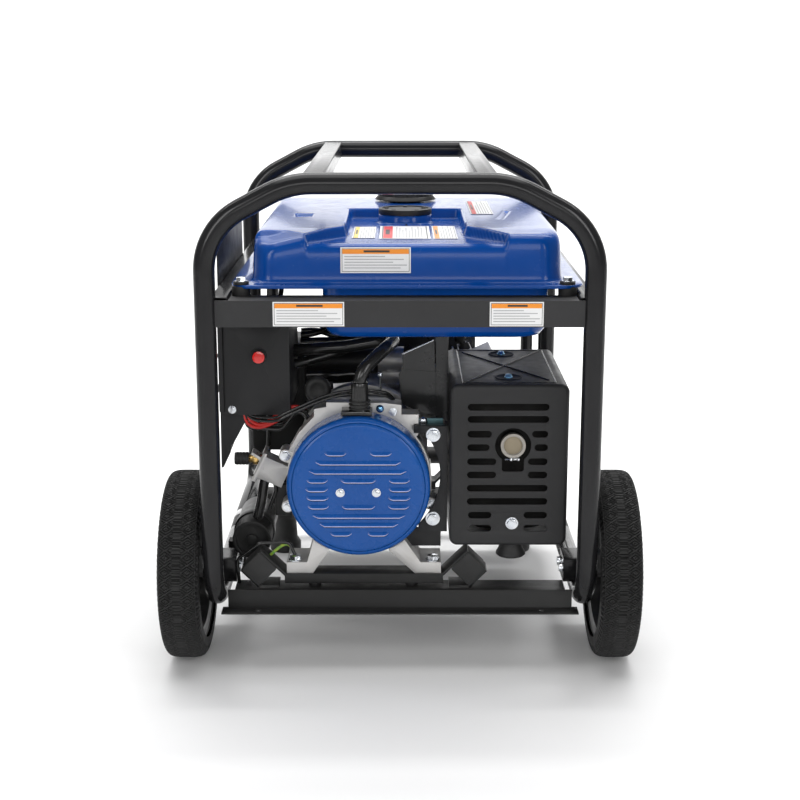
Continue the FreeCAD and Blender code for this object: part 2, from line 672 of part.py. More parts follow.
# ---- exhaust ------------------------------------------------------------------------------
SLOT_ROWS = (393, 375, 353, 333, 312, 292, 272, 252, 231, 211)
FULL_SPAN = [(97, 214)]
SPLIT_SPANS = {353: [(97, 132), (190, 213)], 333: [(97, 129), (194, 213)], 312: [(97, 139), (185, 213)],
               292: [(97, 139), (185, 213)], 231: [(99, 133), (180, 214)], 211: [(99, 133), (180, 214)]}


def muffler_guard():
    """Sheet-steel shell with cooling slots, open at the back and underneath."""
    outer = box(GUARD_X0, GUARD_X1, GUARD_Y0, GUARD_Y1, GUARD_Z0, GUARD_Z1)
    outer = soften(outer, 12, Y_AXIS)
    front = [e for e in outer.Edges if all(abs(v.Point.y - GUARD_Y0) < 0.01 for v in e.Vertexes)]
    outer = outer.makeFillet(6, front)
    inner = box(GUARD_X0 + 2, GUARD_X1 - 2, GUARD_Y0 + 2, GUARD_Y1 + 5, GUARD_Z0 + 2, GUARD_Z1 - 2)
    inner = soften(inner, 10, Y_AXIS)
    tools = [inner, rod(26, (PORT_X, GUARD_Y0 - 1, PORT_Z), Y_AXIS, 12)]
    keyhole = box(PORT_X - 16, PORT_X + 16, GUARD_Y0 - 1, GUARD_Y0 + 8, 297, PORT_Z)
    tools.append(soften(keyhole, 4, Y_AXIS))
    for z in SLOT_ROWS:
        for a, b in SPLIT_SPANS.get(z, FULL_SPAN):
            tools.append(box(a + 5, b - 5, GUARD_Y0 - 1, GUARD_Y0 + 8, z - 5, z + 5))
            tools.append(rod(5, (a + 5, GUARD_Y0 - 1, z), Y_AXIS, 9))
            tools.append(rod(5, (b - 5, GUARD_Y0 - 1, z), Y_AXIS, 9))
        for i in range(4):
            y = GUARD_Y0 + 34 + 52 * i
            tools.append(box(GUARD_X1 - 6, GUARD_X1 + 1, y, y + 38, z - 5, z + 5))
    return cut(outer, *tools)


def muffler():
    """Hollow pressed-steel body with its inlet and outlet pipes."""
    wall = 2
    x0, x1 = GUARD_X0 + 14, GUARD_X1 - 14
    y0, y1 = GUARD_Y0 + 24, GUARD_Y1 - 8
    body = soften(box(x0, x1, y0, y1, 204, 400), 40, Y_AXIS)
    inside = soften(box(x0 + wall, x1 - wall, y0 + wall, y1 - wall, 204 + wall, 400 - wall), 38, Y_AXIS)
    pipe = rod(16, (106, GUARD_Y1 - 10, 350), Y_AXIS, 40)
    outlet = rod(17, (PORT_X, GUARD_Y0 + 6, PORT_Z), Y_AXIS, 20)
    pipe_bore = rod(13, (106, GUARD_Y1 - 14, 350), Y_AXIS, 60)
    outlet_bore = rod(14, (PORT_X, GUARD_Y0, PORT_Z), Y_AXIS, 30)
    return cut(fuse([body, pipe, outlet]), inside, pipe_bore, outlet_bore)


def exhaust_outlet():
    """Outlet ring with its spark-arrestor screen."""
    y0 = GUARD_Y0 - 2
    return fuse([ring(18, 14, (PORT_X, y0, PORT_Z), Y_AXIS, 8), rod(18, (PORT_X, y0 + 4, PORT_Z), Y_AXIS, 4)])


# ---- tank ---------------------------------------------------------------------------------
def tank_shell(inset):
    """Outer skin of the tank moved in by inset: upper pressing and the pan below the seam."""
    top = TANK_TOP_Z - inset
    seam = TANK_FLANGE_Z + FLANGE_THICKNESS
    upper = box(TANK_X - TANK_HALF + inset, TANK_X + TANK_HALF - inset, TANK_NEAR + inset, TANK_FAR - inset,
                seam, top)
    upper = soften(upper, 34 - inset, Z_AXIS)
    rim = [e for e in upper.Edges if all(v.Point.z > top - 0.01 for v in e.Vertexes)]
    upper = upper.makeFillet(11 - inset, rim)
    y0, y1 = TANK_NEAR + 85, TANK_FAR - 240
    pocket_floor = POCKET_Z - inset
    left = [(-132 - inset, NEAR), (-132 - inset, NEAR + 62), (-79 - inset, y0), (-79 - inset, y1 + inset)]
    right = [(95 + inset, y1 + inset), (95 + inset, y0), (149 + inset, NEAR + 62), (149 + inset, NEAR)]
    pocket = plate(left + right, pocket_floor, TANK_TOP_Z + 1)
    boss = rod(GAUGE_R - inset, (GAUGE_X, GAUGE_Y, pocket_floor - 1), Z_AXIS, GAUGE_Z - POCKET_Z + 1)
    slope = [(NEAR, 608 - inset), (NEAR + 86, 636 - inset), (NEAR + 91, TANK_TOP_Z + 1),
             (NEAR, TANK_TOP_Z + 1)]
    bevel = wedge(slope, TANK_X - TANK_HALF - 1, -132 - inset)
    low = PAN_LOW + inset
    pan = box(PAN_X[0] + inset, PAN_X[1] - inset, TANK_NEAR + 30 + inset, TANK_FAR - 30 - inset, low, seam)
    underside = [e for e in pan.Edges if all(v.Point.z < low + 0.01 for v in e.Vertexes)]
    pan = pan.makeFillet(24 - inset, underside)
    return fuse([cut(upper, pocket, bevel), boss, pan])


TANK_BOLTS = [(x, y) for x in (-222, 234) for y in (TANK_NEAR - 4, TANK_FAR + 4)]


def fuel_tank(tools):
    flange = soften(box(TANK_X - TANK_FLANGE_HALF, TANK_X + TANK_FLANGE_HALF, TANK_NEAR - 20, TANK_FAR + 20,
                        TANK_FLANGE_Z, TANK_FLANGE_Z + FLANGE_THICKNESS), 26, Z_AXIS)
    neck = rod(NECK_R, (CAP_X, CAP_Y, TANK_TOP_Z - 4), Z_AXIS, CAP_Z - TANK_TOP_Z + 4)
    filler = rod(NECK_R - TANK_WALL, (CAP_X, CAP_Y, TANK_TOP_Z - 10), Z_AXIS, 20)
    sender = rod(22, (GAUGE_X, GAUGE_Y, GAUGE_Z - 10), Z_AXIS, 20)
    inside = tank_shell(TANK_WALL)
    return cut(fuse([tank_shell(0), flange, neck]), inside, filler, sender, *tools)


def fuel_cap():
    """Broad twist cap with a flared skirt, ribbed edge and a plug in the filler neck."""
    low = CAP_Z + 0.3
    skirt = cone(CAP_R, CAP_R - 5, (CAP_X, CAP_Y, low), Z_AXIS, 6)
    lid = rod(CAP_R - 6, (CAP_X, CAP_Y, low + 6), Z_AXIS, 12)
    top = [e for e in lid.Edges if all(v.Point.z > low + 17 for v in e.Vertexes)]
    lid = lid.makeFillet(3, top)
    grooves = []
    for i in range(16):
        a = math.radians(360 / 16 * i)
        x = CAP_X + (CAP_R - 4) * math.cos(a)
        y = CAP_Y + (CAP_R - 4) * math.sin(a)
        grooves.append(rod(3.2, (x, y, low + 6), Z_AXIS, 14))
    plug = rod(NECK_R - TANK_WALL - 0.4, (CAP_X, CAP_Y, low - 14), Z_AXIS, 15)
    return fuse([skirt, cut(lid, *grooves), plug])


def fuel_gauge():
    """Round gauge on its boss: body, raised rim, flange screws and the sender below."""
    c = (GAUGE_X, GAUGE_Y, GAUGE_Z)
    body = rod(GAUGE_R, c, Z_AXIS, 8)
    dish = rod(GAUGE_R - 5, (GAUGE_X, GAUGE_Y, GAUGE_Z + 6.5), Z_AXIS, 5)
    screws = []
    for i in range(5):
        a = math.radians(90 + 72 * i)
        x = GAUGE_X + (GAUGE_R - 11) * math.cos(a)
        y = GAUGE_Y + (GAUGE_R - 11) * math.sin(a)
        screws.append(rod(3.5, (x, y, GAUGE_Z + 6), Z_AXIS, 2.2))
    sender = rod(21.6, (GAUGE_X, GAUGE_Y, GAUGE_Z - 30), Z_AXIS, 31)
    return fuse([cut(body, dish), sender] + screws)


def tank_grommets():
    z0 = BAR_TOP
    lower = [ring(13, 4.1, (x, y, z0), Z_AXIS, TANK_FLANGE_Z - z0) for x, y in TANK_BOLTS]
    upper = [ring(11, 4.1, (x, y, TANK_FLANGE_Z + FLANGE_THICKNESS), Z_AXIS, 4) for x, y in TANK_BOLTS]
    return lower + upper


VALVE_Y, VALVE_Z = 60.0, 469.0


def fuel_valve():
    body = rod(11, (176, VALVE_Y, VALVE_Z), X_AXIS, 30)
    neck = rod(7, (182, VALVE_Y, VALVE_Z), Z_AXIS, PAN_LOW - VALVE_Z)
    spigot = rod(4, (186, VALVE_Y, VALVE_Z - 26), Z_AXIS, 26)
    return fuse([body, neck, spigot])


def fuel_lever():
    return fuse([rod(9, (206.3, VALVE_Y, VALVE_Z), X_AXIS, 6),
                 soften(box(207, 212, VALVE_Y - 5, VALVE_Y + 34, VALVE_Z - 5, VALVE_Z + 5), 2, X_AXIS)])


# ---- controls -----------------------------------------------------------------------------
RED_X, RED_Z = -205.0, 457.0
ROCKER_Y, ROCKER_Z = BOX_Y0 + 40, 440.0
BREAKER_Y, BREAKER_Z = BOX_Y0 + 40, 400.0
SOCKET_Y, SOCKET_Z = BOX_Y0 + 110, 455.0


def control_box():
    """Folded steel box behind the panel, open towards the panel."""
    outer = soften(box(BOX_X0 - 4.9, BOX_X1, BOX_Y0, BOX_Y1, BOX_Z0, BOX_Z1), 3, Y_AXIS)
    inner = box(BOX_X0 - 6, BOX_X1 - 2, BOX_Y0 + 2, BOX_Y1 - 2, BOX_Z0 + 2, BOX_Z1 - 2)
    bezel = ring(11, 7.1, (RED_X, BOX_Y0 - 3, RED_Z), Y_AXIS, 3)
    return cut(fuse([cut(outer, inner), bezel]), rod(7.1, (RED_X, BOX_Y0 - 5, RED_Z), Y_AXIS, 10))


def control_panel():
    """Upright face plate with a notched lower edge, seen edge-on from the alternator end."""
    outline = [(NEAR + 115, 372), (NEAR + 190, 284), (NEAR + 250, 284), (NEAR + 270, 330), (NEAR + 451, 330),
               (NEAR + 451, 650), (NEAR + 115, 640)]
    corners = [V(PANEL_X, y, z) for y, z in outline]
    plate = Part.Face(Part.makePolygon(corners + corners[:1])).extrude(V(2.4, 0, 0))
    holes = [box(PANEL_X - 1, PANEL_X + 4, ROCKER_Y - 10, ROCKER_Y + 10, ROCKER_Z - 14, ROCKER_Z + 14),
             rod(6.1, (PANEL_X - 1, BREAKER_Y, BREAKER_Z), X_AXIS, 5),
             rod(24, (PANEL_X - 1, SOCKET_Y, SOCKET_Z), X_AXIS, 5)]
    return cut(plate, *holes)


def sockets():
    """Outlet body filling the panel's round opening, and a plain outlet beside it."""
    barrel = rod(23.9, (PANEL_X, SOCKET_Y, SOCKET_Z), X_AXIS, 40)
    face = rod(29, (PANEL_X - 3, SOCKET_Y, SOCKET_Z), X_AXIS, 3)
    body = fuse([barrel, face])
    pins = []
    for y in (SOCKET_Y - 9, SOCKET_Y + 9):
        pins.append(box(PANEL_X - 4, PANEL_X + 12, y - 1.5, y + 1.5, SOCKET_Z - 6, SOCKET_Z + 6))
    return cut(body, *pins)


def socket_cover():
    x0 = PANEL_X - 3.5
    lid = rod(28, (x0 - 4, SOCKET_Y, SOCKET_Z), X_AXIS, 4)
    knuckle = rod(3, (x0 - 4, SOCKET_Y - 14, SOCKET_Z + 31), Y_AXIS, 28)
    bridge = box(x0 - 6, x0 - 2, SOCKET_Y - 12, SOCKET_Y + 12, SOCKET_Z + 20, SOCKET_Z + 31)
    behind = box(x0, x0 + 20, SOCKET_Y - 40, SOCKET_Y + 40, SOCKET_Z, SOCKET_Z + 60)
    return fuse([lid, knuckle, bridge]).cut(behind)


def start_rocker():
    outline = [(PANEL_X + 6, ROCKER_Z - 10), (PANEL_X + 6, ROCKER_Z + 10), (PANEL_X - 6, ROCKER_Z + 12),
               (PANEL_X - 2, ROCKER_Z), (PANEL_X - 4, ROCKER_Z - 12)]
    pivot = rod(2, (PANEL_X + 2, ROCKER_Y - 9.8, ROCKER_Z), Y_AXIS, 19.6)
    return fuse([prism(outline, ROCKER_Y - 8, ROCKER_Y + 8), pivot])


def breaker_button():
    return rod(6, (PANEL_X - 7, BREAKER_Y, BREAKER_Z), X_AXIS, 22)


def red_button():
    cap = rod(8.7, (RED_X, BOX_Y0 - 9.5, RED_Z), Y_AXIS, 4)
    return fuse([cap, rod(7, (RED_X, BOX_Y0 - 6, RED_Z), Y_AXIS, 14)])


# ---- fuel gas and vapour parts ------------------------------------------------------------
INLET_Y, INLET_Z = NEAR + 100, 303.0


def gas_inlet():
    """Brass inlet on its bracket beside the regulator."""
    return fuse([rod(6, (-223.7, INLET_Y, INLET_Z), X_AXIS, 24), rod(9, (-217, INLET_Y, INLET_Z), X_AXIS, 7)])


def dust_cap():
    cap = ring(9, 6.1, (-244, INLET_Y, INLET_Z), X_AXIS, 21)
    return fuse([cap, rod(9, (-244, INLET_Y, INLET_Z), X_AXIS, 19.5)])


def gas_regulator(inlet):
    """Tilted regulator block with a flange plate, on a bracket from the crankcase side."""
    block = box(-19, 20, -17, 17, -17, 17)
    flange = box(-25, -19, -22, 22, -23, 23)
    bracket = box(-24, 20, 17, 21, -12, 10)
    body = fuse([block, flange, bracket])
    body.rotate(V(0, 0, 0), Y_AXIS, 24)
    body.translate(V(-187, INLET_Y + 8, 284))
    plate = folded_strip([(-218, 314), (-206, 306), (-203, 288)], 4, INLET_Y - 12, INLET_Y + 12)
    return cut(fuse([body, plate]), inlet, rod(BELL_R + 0.5, (SHAFT_X, NEAR, SHAFT_Z), Y_AXIS, 300))


def vapour_canister():
    y0, y1 = NEAR + 100, NEAR + 225
    body = rod(29, (-222, y0, 176), Y_AXIS, y1 - y0)
    recess = ring(24, 8, (-222, y0, 176), Y_AXIS, 6)
    strap = ring(31, 29, (-222, y0 + 40, 176), Y_AXIS, 20)
    foot = box(-262, -236, y0 + 40, y0 + 60, 124.2, 160)
    port = rod(6, (-222, y1, 176), Y_AXIS, 8)
    return cut(fuse([cut(body, recess), strap, foot, port]), rod(4, (-222, y1 + 2, 176), Y_AXIS, 10))


def vent_hose():
    y = BOX_Y1 + 7
    path = bent_path([(-222, NEAR + 235, 176), (-222, y - 6, 176), (-212, y, 250), (-206, y, 430),
                      (-186, y, 520), (-182, y, TANK_FLANGE_Z)], [20, 60, 60, 40])
    return sweep(path, 3.9)


# ---- handle, battery and fasteners --------------------------------------------------------
PIVOT_Z = 500.0
ARM_X = 232.0
CROSS_Z = 150.0


def tow_handle():
    """U-shaped folding handle, hanging between the legs of the far hoop."""
    corners = [(-ARM_X, FAR, PIVOT_Z), (-ARM_X, FAR, CROSS_Z), (ARM_X, FAR, CROSS_Z),
               (ARM_X, FAR, PIVOT_Z)]
    path = bent_path(corners, [60, 60])
    bar = sweep(path, 11)
    eyes = [rod(14, (x - 9, FAR, PIVOT_Z), X_AXIS, 18) for x in (-ARM_X, ARM_X)]
    bores = [rod(4.05, (x - 12, FAR, PIVOT_Z), X_AXIS, 24) for x in (-ARM_X, ARM_X)]
    return cut(fuse([bar] + eyes), *bores)


def handle_grip():
    return ring(GRIP_R, 11, (-110, FAR, CROSS_Z), X_AXIS, 220)


def handle_brackets(hoops):
    pieces = []
    for side in (-1, 1):
        boss = rod(13, (side * (ARM_X + 11.5), FAR, PIVOT_Z), X_AXIS * side, 20)
        pin = rod(4, (side * (ARM_X - 14), FAR, PIVOT_Z), X_AXIS * side, 30)
        head = rod(7, (side * (ARM_X - 16), FAR, PIVOT_Z), X_AXIS * side, 4)
        piece = cut(fuse([boss, pin, head]), *hoops.values())
        pieces.append(max(piece.Solids, key=lambda s: s.Volume))
    return pieces


BATTERY = (118, 206, 60, 168, 126, 246)


def battery():
    x0, x1, y0, y1, z0, z1 = BATTERY
    case = soften(box(x0, x1, y0, y1, z0, z1), 5, Z_AXIS)
    posts = [rod(7, (x, y0 + 18, z1), Z_AXIS, 12) for x in (x0 + 18, x1 - 18)]
    return fuse([case] + posts)


def battery_tray():
    x0, x1, y0, y1, z0, _ = BATTERY
    floor = box(x0 - 3, 262, y0 - 3, y1 + 3, z0 - 3, z0)
    walls = [box(x0 - 3, x0, y0 - 3, y1 + 3, z0, z0 + 24), box(x1, x1 + 3, y0 - 3, y1 + 3, z0, z0 + 24)]
    link = box(250, 262, y0 + 20, y1 - 20, 124.5, z0)
    return fuse([floor, link] + walls)


def dipstick():
    x, y = DIPSTICK_X, DIPSTICK_Y
    tab = box(x - 13, x + 13, y - 3, y + 3, 364, 372)
    return fuse([rod(13, (x, y, 352.3), Z_AXIS, 12), tab, rod(4, (x, y, 332), Z_AXIS, 24)])


def bolts():
    """Every bolt, nut and screw that shows."""
    cx, cz = SHAFT_X, SHAFT_Z
    items = []
    for x, y in TANK_BOLTS:
        items.append(hex_bolt((x, y, TANK_FLANGE_Z + 6.4), Z_AXIS, 7.6, 14))
    for a in LUG_ANGLES:
        x = cx + LUG_R * math.cos(math.radians(a))
        z = cz + LUG_R * math.sin(math.radians(a))
        items.append(hex_bolt((x, BELL_Y + 2, z), Y_AXIS * -1, 6.5, 12))
    for x in FOOT_X:
        items.append(hex_bolt((x, NEAR_CRADLE_Y + 14, FOOT_TOP), Z_AXIS, 9, 14))
    for z in PLATE_BOLT_Z:
        items.append(hex_bolt((PLATE_BOLT_X, BELL_Y - 16, z), Y_AXIS * -1, 9, 6))
    for dx in (-26, 26):
        items.append(hex_bolt((cx + dx, COVER_FACE_Y, cz - 6.5), Y_AXIS * -1, 5.6, 6))
    items.append(hex_bolt((PORT_X, GUARD_Y0, 219), Y_AXIS * -1, 8, 6))
    items.append(hex_bolt((BOX_X0 + 11, BOX_Y0, BOX_Z0 + 8), Y_AXIS * -1, 5, 6))
    for side in (-1, 1):
        items.append(hex_bolt((side * 243, AXLE_Y - 14, 138), X_AXIS * -side, 7, 8))
        items.append(hex_bolt((side * 243, AXLE_Y + 14, 138), X_AXIS * -side, 7, 8))
        nut = cut(hex_bolt((side * 335.4, AXLE_Y, WHEEL_R), X_AXIS * side, 10, 0.1),
                  rod(AXLE_R, (side * 330, AXLE_Y, WHEEL_R), X_AXIS * side, 30))
        items.append(nut)
    return items


# ---- assembly -----------------------------------------------------------------------------
BOLTED = ("alternator_cover", "alternator_end_bell", "cradle_bars", "support_plate", "muffler_guard",
          "muffler", "control_box", "stub_axles", "rubber_mounts", "cross_bars", "stator")


def build():
    solid_hoops, hoops = make_hoops()
    rails = frame_rails(solid_hoops)
    crank = crankshaft()
    inlet = gas_inlet()
    fasteners = bolts()
    nodes = dict(hoops)
    nodes["frame_rails"] = group(rails)
    nodes["cross_bars"] = group(cross_bars(solid_hoops, rails))
    nodes["base_channels"] = group(base_channels())
    nodes["cradle_bars"] = group(cradle_bars())
    nodes["rubber_mounts"] = group(rubber_isolators() + tank_grommets())
    nodes["rubber_feet"] = group(rubber_feet())
    nodes["stub_axles"] = group(stub_axles(solid_hoops))
    for name, side in (("left", -1), ("right", 1)):
        nodes[name + "_rim"] = wheel_rim(side)
        nodes[name + "_tyre"] = tyre(side)
    nodes["alternator_cover"] = alternator_cover()
    nodes["alternator_end_bell"] = end_bell()
    nodes["stator"] = group(stator())
    nodes["rotor"] = rotor()
    nodes["crankshaft"] = crank
    starter = starter_motor()
    nodes["crankcase"] = crankcase(starter)
    nodes["cylinder_block"] = cut(cylinder_block(), nodes["crankcase"])
    nodes["valve_cover"] = valve_cover()
    nodes["spark_plug"] = spark_plug()
    nodes["flywheel"] = flywheel(crank)
    nodes["fan_shroud"] = fan_shroud()
    nodes["recoil_cover"] = recoil_cover()
    nodes["recoil_pulley"] = recoil_pulley()
    nodes["recoil_handle"] = recoil_handle()
    nodes["starter_motor"] = starter
    nodes["air_cleaner"] = air_cleaner()
    nodes["air_filter"] = air_filter()
    nodes["carburettor"] = carburettor()
    nodes["choke_lever"] = choke_lever()
    control = control_box()
    nodes["wiring"] = group(wiring(control))
    nodes["support_plate"] = cut(support_plate(), nodes["alternator_end_bell"])
    nodes["muffler_guard"] = muffler_guard()
    nodes["muffler"] = muffler()
    nodes["exhaust_outlet"] = exhaust_outlet()
    nodes["fuel_tank"] = fuel_tank(fasteners)
    nodes["fuel_cap"] = fuel_cap()
    nodes["fuel_gauge"] = fuel_gauge()
    nodes["fuel_valve"] = fuel_valve()
    nodes["fuel_lever"] = fuel_lever()
    nodes["control_box"] = control
    nodes["control_panel"] = control_panel()
    nodes["outlet_socket"] = sockets()
    nodes["socket_cover"] = socket_cover()
    nodes["start_rocker"] = start_rocker()
    nodes["breaker_button"] = breaker_button()
    nodes["red_button"] = red_button()
    nodes["gas_inlet"] = inlet
    nodes["dust_cap"] = dust_cap()
    nodes["gas_regulator"] = gas_regulator(inlet)
    nodes["vapour_canister"] = vapour_canister()
    nodes["vent_hose"] = cut(vent_hose(), nodes["fuel_tank"])
    nodes["tow_handle"] = tow_handle()
    nodes["handle_grip"] = handle_grip()
    nodes["frame_brackets"] = group(handle_brackets(solid_hoops) + [battery_tray()])
    nodes["battery"] = battery()
    nodes["dipstick"] = dipstick()
    nodes["muffler"] = cut(nodes["muffler"], nodes["cylinder_block"])
    for host in BOLTED:
        solids = [cut(solid, *fasteners) for solid in nodes[host].Solids]
        nodes[host] = group(solids) if len(solids) > 1 else solids[0].Solids[0]
    nodes["bolts"] = group(fasteners)
    return nodes


os.makedirs("parts", exist_ok=True)
for node, shape in build().items():
    shape.exportStep("parts/" + node + ".step")
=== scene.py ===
"""Looks of the open-frame portable generator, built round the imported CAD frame. Metres."""

import json
import math

import bpy
import numpy as np
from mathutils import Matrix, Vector


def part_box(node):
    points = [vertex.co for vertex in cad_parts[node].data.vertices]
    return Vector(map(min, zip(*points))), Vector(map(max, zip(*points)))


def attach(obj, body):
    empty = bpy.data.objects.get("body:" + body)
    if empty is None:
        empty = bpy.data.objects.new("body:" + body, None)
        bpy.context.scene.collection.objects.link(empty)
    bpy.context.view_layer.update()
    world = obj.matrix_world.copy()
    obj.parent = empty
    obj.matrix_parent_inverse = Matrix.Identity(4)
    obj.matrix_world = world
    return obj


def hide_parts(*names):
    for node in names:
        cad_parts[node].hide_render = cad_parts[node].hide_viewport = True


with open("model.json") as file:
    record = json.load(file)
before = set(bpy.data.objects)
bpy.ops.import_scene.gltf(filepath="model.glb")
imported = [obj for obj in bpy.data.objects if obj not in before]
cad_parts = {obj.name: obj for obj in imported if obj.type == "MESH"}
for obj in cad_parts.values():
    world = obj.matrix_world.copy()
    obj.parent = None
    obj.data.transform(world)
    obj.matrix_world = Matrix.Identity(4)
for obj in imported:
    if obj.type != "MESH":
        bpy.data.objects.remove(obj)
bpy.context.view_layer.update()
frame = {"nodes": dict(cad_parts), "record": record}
NODES = frame["nodes"]
MM = 0.001
HOOP_TUBE_R = 15.0
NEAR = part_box("near_hoop")[0].y * 1000 + HOOP_TUBE_R  # Y in mm of the near hoop's centre
CAMERA_BACK, CAMERA_HEIGHT, CAMERA_TILT, CAMERA_LENS = 2.0, 0.901, 13.634, 66.42
WORLD_LIGHT = 0.22
TUBE_EDGE, SHEET_EDGE, SLAB_EDGE, PLATE_EDGE = 0.0001, 0.0009, 0.0008, 0.0006


def box_mm(node):
    """Low and high corners of a CAD piece, in millimetres."""
    return tuple(corner * 1000 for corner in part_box(node))


# ---- camera, light and floor --------------------------------------------------------------
def add_camera():
    """At the alternator end, above the tank's height, looking down a little."""
    data = bpy.data.cameras.new("camera")
    data.sensor_width = 36
    data.lens = CAMERA_LENS
    data.clip_end = 100
    camera = bpy.data.objects.new("camera", data)
    camera.location = (0, NEAR * MM - CAMERA_BACK, CAMERA_HEIGHT)
    camera.rotation_euler = (math.radians(90 - CAMERA_TILT), 0, 0)
    bpy.context.scene.collection.objects.link(camera)
    bpy.context.scene.camera = camera


def add_light(name, place, target, size, power):
    """A rectangular soft light that points at a target."""
    data = bpy.data.lights.new(name, "AREA")
    data.shape = "RECTANGLE"
    data.size, data.size_y = size
    data.energy = power
    light = bpy.data.objects.new(name, data)
    light.location = place
    light.rotation_euler = (Vector(target) - Vector(place)).to_track_quat("-Z", "Y").to_euler()
    bpy.context.scene.collection.objects.link(light)


def add_stage():
    """One white sheet: floor, a curve behind the object and a wall."""
    half, front, back, bend, top = 14.0, -14.0, 5.0, 3.0, 9.0
    arc_steps = 16
    profile = [(front, 0.0), (back - bend, 0.0)]
    for i in range(1, arc_steps + 1):
        a = math.pi / 2 * i / arc_steps
        profile.append((back - bend + bend * math.sin(a), bend - bend * math.cos(a)))
    profile.append((back, top))
    points = [(x, y, z) for y, z in profile for x in (-half, half)]
    mesh = bpy.data.meshes.new("backdrop")
    mesh.from_pydata(points, [], grid_faces(len(profile), 2))
    mesh.polygons.foreach_set("use_smooth", [True] * len(mesh.polygons))
    floor = bpy.data.objects.new("backdrop", mesh)
    bpy.context.scene.collection.objects.link(floor)
    mat, tree, shader = new_material("backdrop_white")
    tint = mix_colours(tree, noise(tree, 3), (0.88, 0.88, 0.88), (0.9, 0.9, 0.9))
    tree.links.new(tint, shader.inputs["Base Color"])
    shader.inputs["Roughness"].default_value = 0.95
    mesh.materials.append(mat)
    world = bpy.data.worlds.new("studio")
    world.use_nodes = True
    world.node_tree.nodes["Background"].inputs["Color"].default_value = (1, 1, 1, 1)
    world.node_tree.nodes["Background"].inputs["Strength"].default_value = WORLD_LIGHT
    bpy.context.scene.world = world
    bpy.context.scene.view_settings.view_transform = "Standard"


def add_lights():
    """Softboxes above and in front, and one that whitens the wall."""
    add_light("overhead", (0, 0.3, 2.9), (0, 0, 0.3), (2.6, 3.4), 72)
    add_light("wall_wash", (0, 1.4, 4.2), (0, 5.0, 1.0), (8.0, 1.2), 340)
    add_light("front_left", (-2.6, -3.4, 2.0), (0, 0, 0.35), (1.0, 2.2), 42)
    add_light("front_right", (2.6, -3.4, 2.0), (0, 0, 0.35), (1.0, 2.2), 42)
    add_light("front_low", (0, -5.2, 1.5), (0, 0, 0.3), (3.2, 1.0), 36)


# ---- materials ----------------------------------------------------------------------------
def new_material(name):
    """An empty node material, with its tree and its shader."""
    mat = bpy.data.materials.new(name)
    mat.use_nodes = True
    tree = mat.node_tree
    return mat, tree, tree.nodes["Principled BSDF"]


def noise(tree, scale, detail=4, stretch=(1, 1, 1)):
    """Noise in the object's own metres, stretched per axis."""
    coords = tree.nodes.new("ShaderNodeTexCoord")
    mapping = tree.nodes.new("ShaderNodeMapping")
    mapping.inputs["Scale"].default_value = stretch
    texture = tree.nodes.new("ShaderNodeTexNoise")
    texture.inputs["Scale"].default_value = scale
    texture.inputs["Detail"].default_value = detail
    tree.links.new(coords.outputs["Object"], mapping.inputs["Vector"])
    tree.links.new(mapping.outputs["Vector"], texture.inputs["Vector"])
    return texture.outputs["Fac"]


def spread(tree, value, low, high, start=0.3, end=0.7):
    """Stretch a 0..1 value over a new range."""
    node = tree.nodes.new("ShaderNodeMapRange")
    node.inputs["From Min"].default_value = start
    node.inputs["From Max"].default_value = end
    node.inputs["To Min"].default_value = low
    node.inputs["To Max"].default_value = high
    tree.links.new(value, node.inputs["Value"])
    return node.outputs["Result"]


def mix_colours(tree, factor, first, second):
    """Mix two colours, each a tuple or a socket."""
    node = tree.nodes.new("ShaderNodeMix")
    node.data_type = "RGBA"
    for socket, colour in ((node.inputs[6], first), (node.inputs[7], second)):
        if isinstance(colour, tuple):
            socket.default_value = (*colour, 1)
        else:
            tree.links.new(colour, socket)
    tree.links.new(factor, node.inputs["Factor"])
    return node.outputs[2]


def bump(tree, shader, height, distance):
    """Raise the surface by a height map, a distance in metres at most."""
    node = tree.nodes.new("ShaderNodeBump")
    node.inputs["Distance"].default_value = distance
    tree.links.new(height, node.inputs["Height"])
    tree.links.new(node.outputs["Normal"], shader.inputs["Normal"])


def dusted(tree, colour, dust, amount):
    """Lay a little dust on faces that look up."""
    geometry = tree.nodes.new("ShaderNodeNewGeometry")
    split = tree.nodes.new("ShaderNodeSeparateXYZ")
    tree.links.new(geometry.outputs["Normal"], split.inputs["Vector"])
    upward = spread(tree, split.outputs["Z"], 0, amount, 0.4, 1.0)
    patches = spread(tree, noise(tree, 35, 6), 0.2, 1.0)
    product = tree.nodes.new("ShaderNodeMath")
    product.operation = "MULTIPLY"
    tree.links.new(upward, product.inputs[0])
    tree.links.new(patches, product.inputs[1])
    return mix_colours(tree, product.outputs["Value"], colour, dust)


def surface(name, colour, other, rough, metal=0.0, coat=0.0, coat_rough=0.05, tone_scale=9, grain=600,
            depth=0.00004, dust=0.0, specular=0.5, stretch=(1, 1, 1), coat_ior=1.5):
    """One finish: two close colours, varying roughness, a fine grain and a little dust."""
    mat, tree, shader = new_material(name)
    tone = spread(tree, noise(tree, tone_scale, 5), 0, 1)
    base = mix_colours(tree, tone, colour, other)
    if dust:
        base = dusted(tree, base, (0.35, 0.34, 0.32), dust)
    tree.links.new(base, shader.inputs["Base Color"])
    tree.links.new(spread(tree, noise(tree, 60, 4, stretch), rough[0], rough[1]), shader.inputs["Roughness"])
    shader.inputs["Metallic"].default_value = metal
    shader.inputs["Specular IOR Level"].default_value = specular
    shader.inputs["Coat Weight"].default_value = coat
    shader.inputs["Coat Roughness"].default_value = coat_rough
    shader.inputs["Coat IOR"].default_value = coat_ior
    bump(tree, shader, noise(tree, grain, 3, stretch), depth)
    return mat


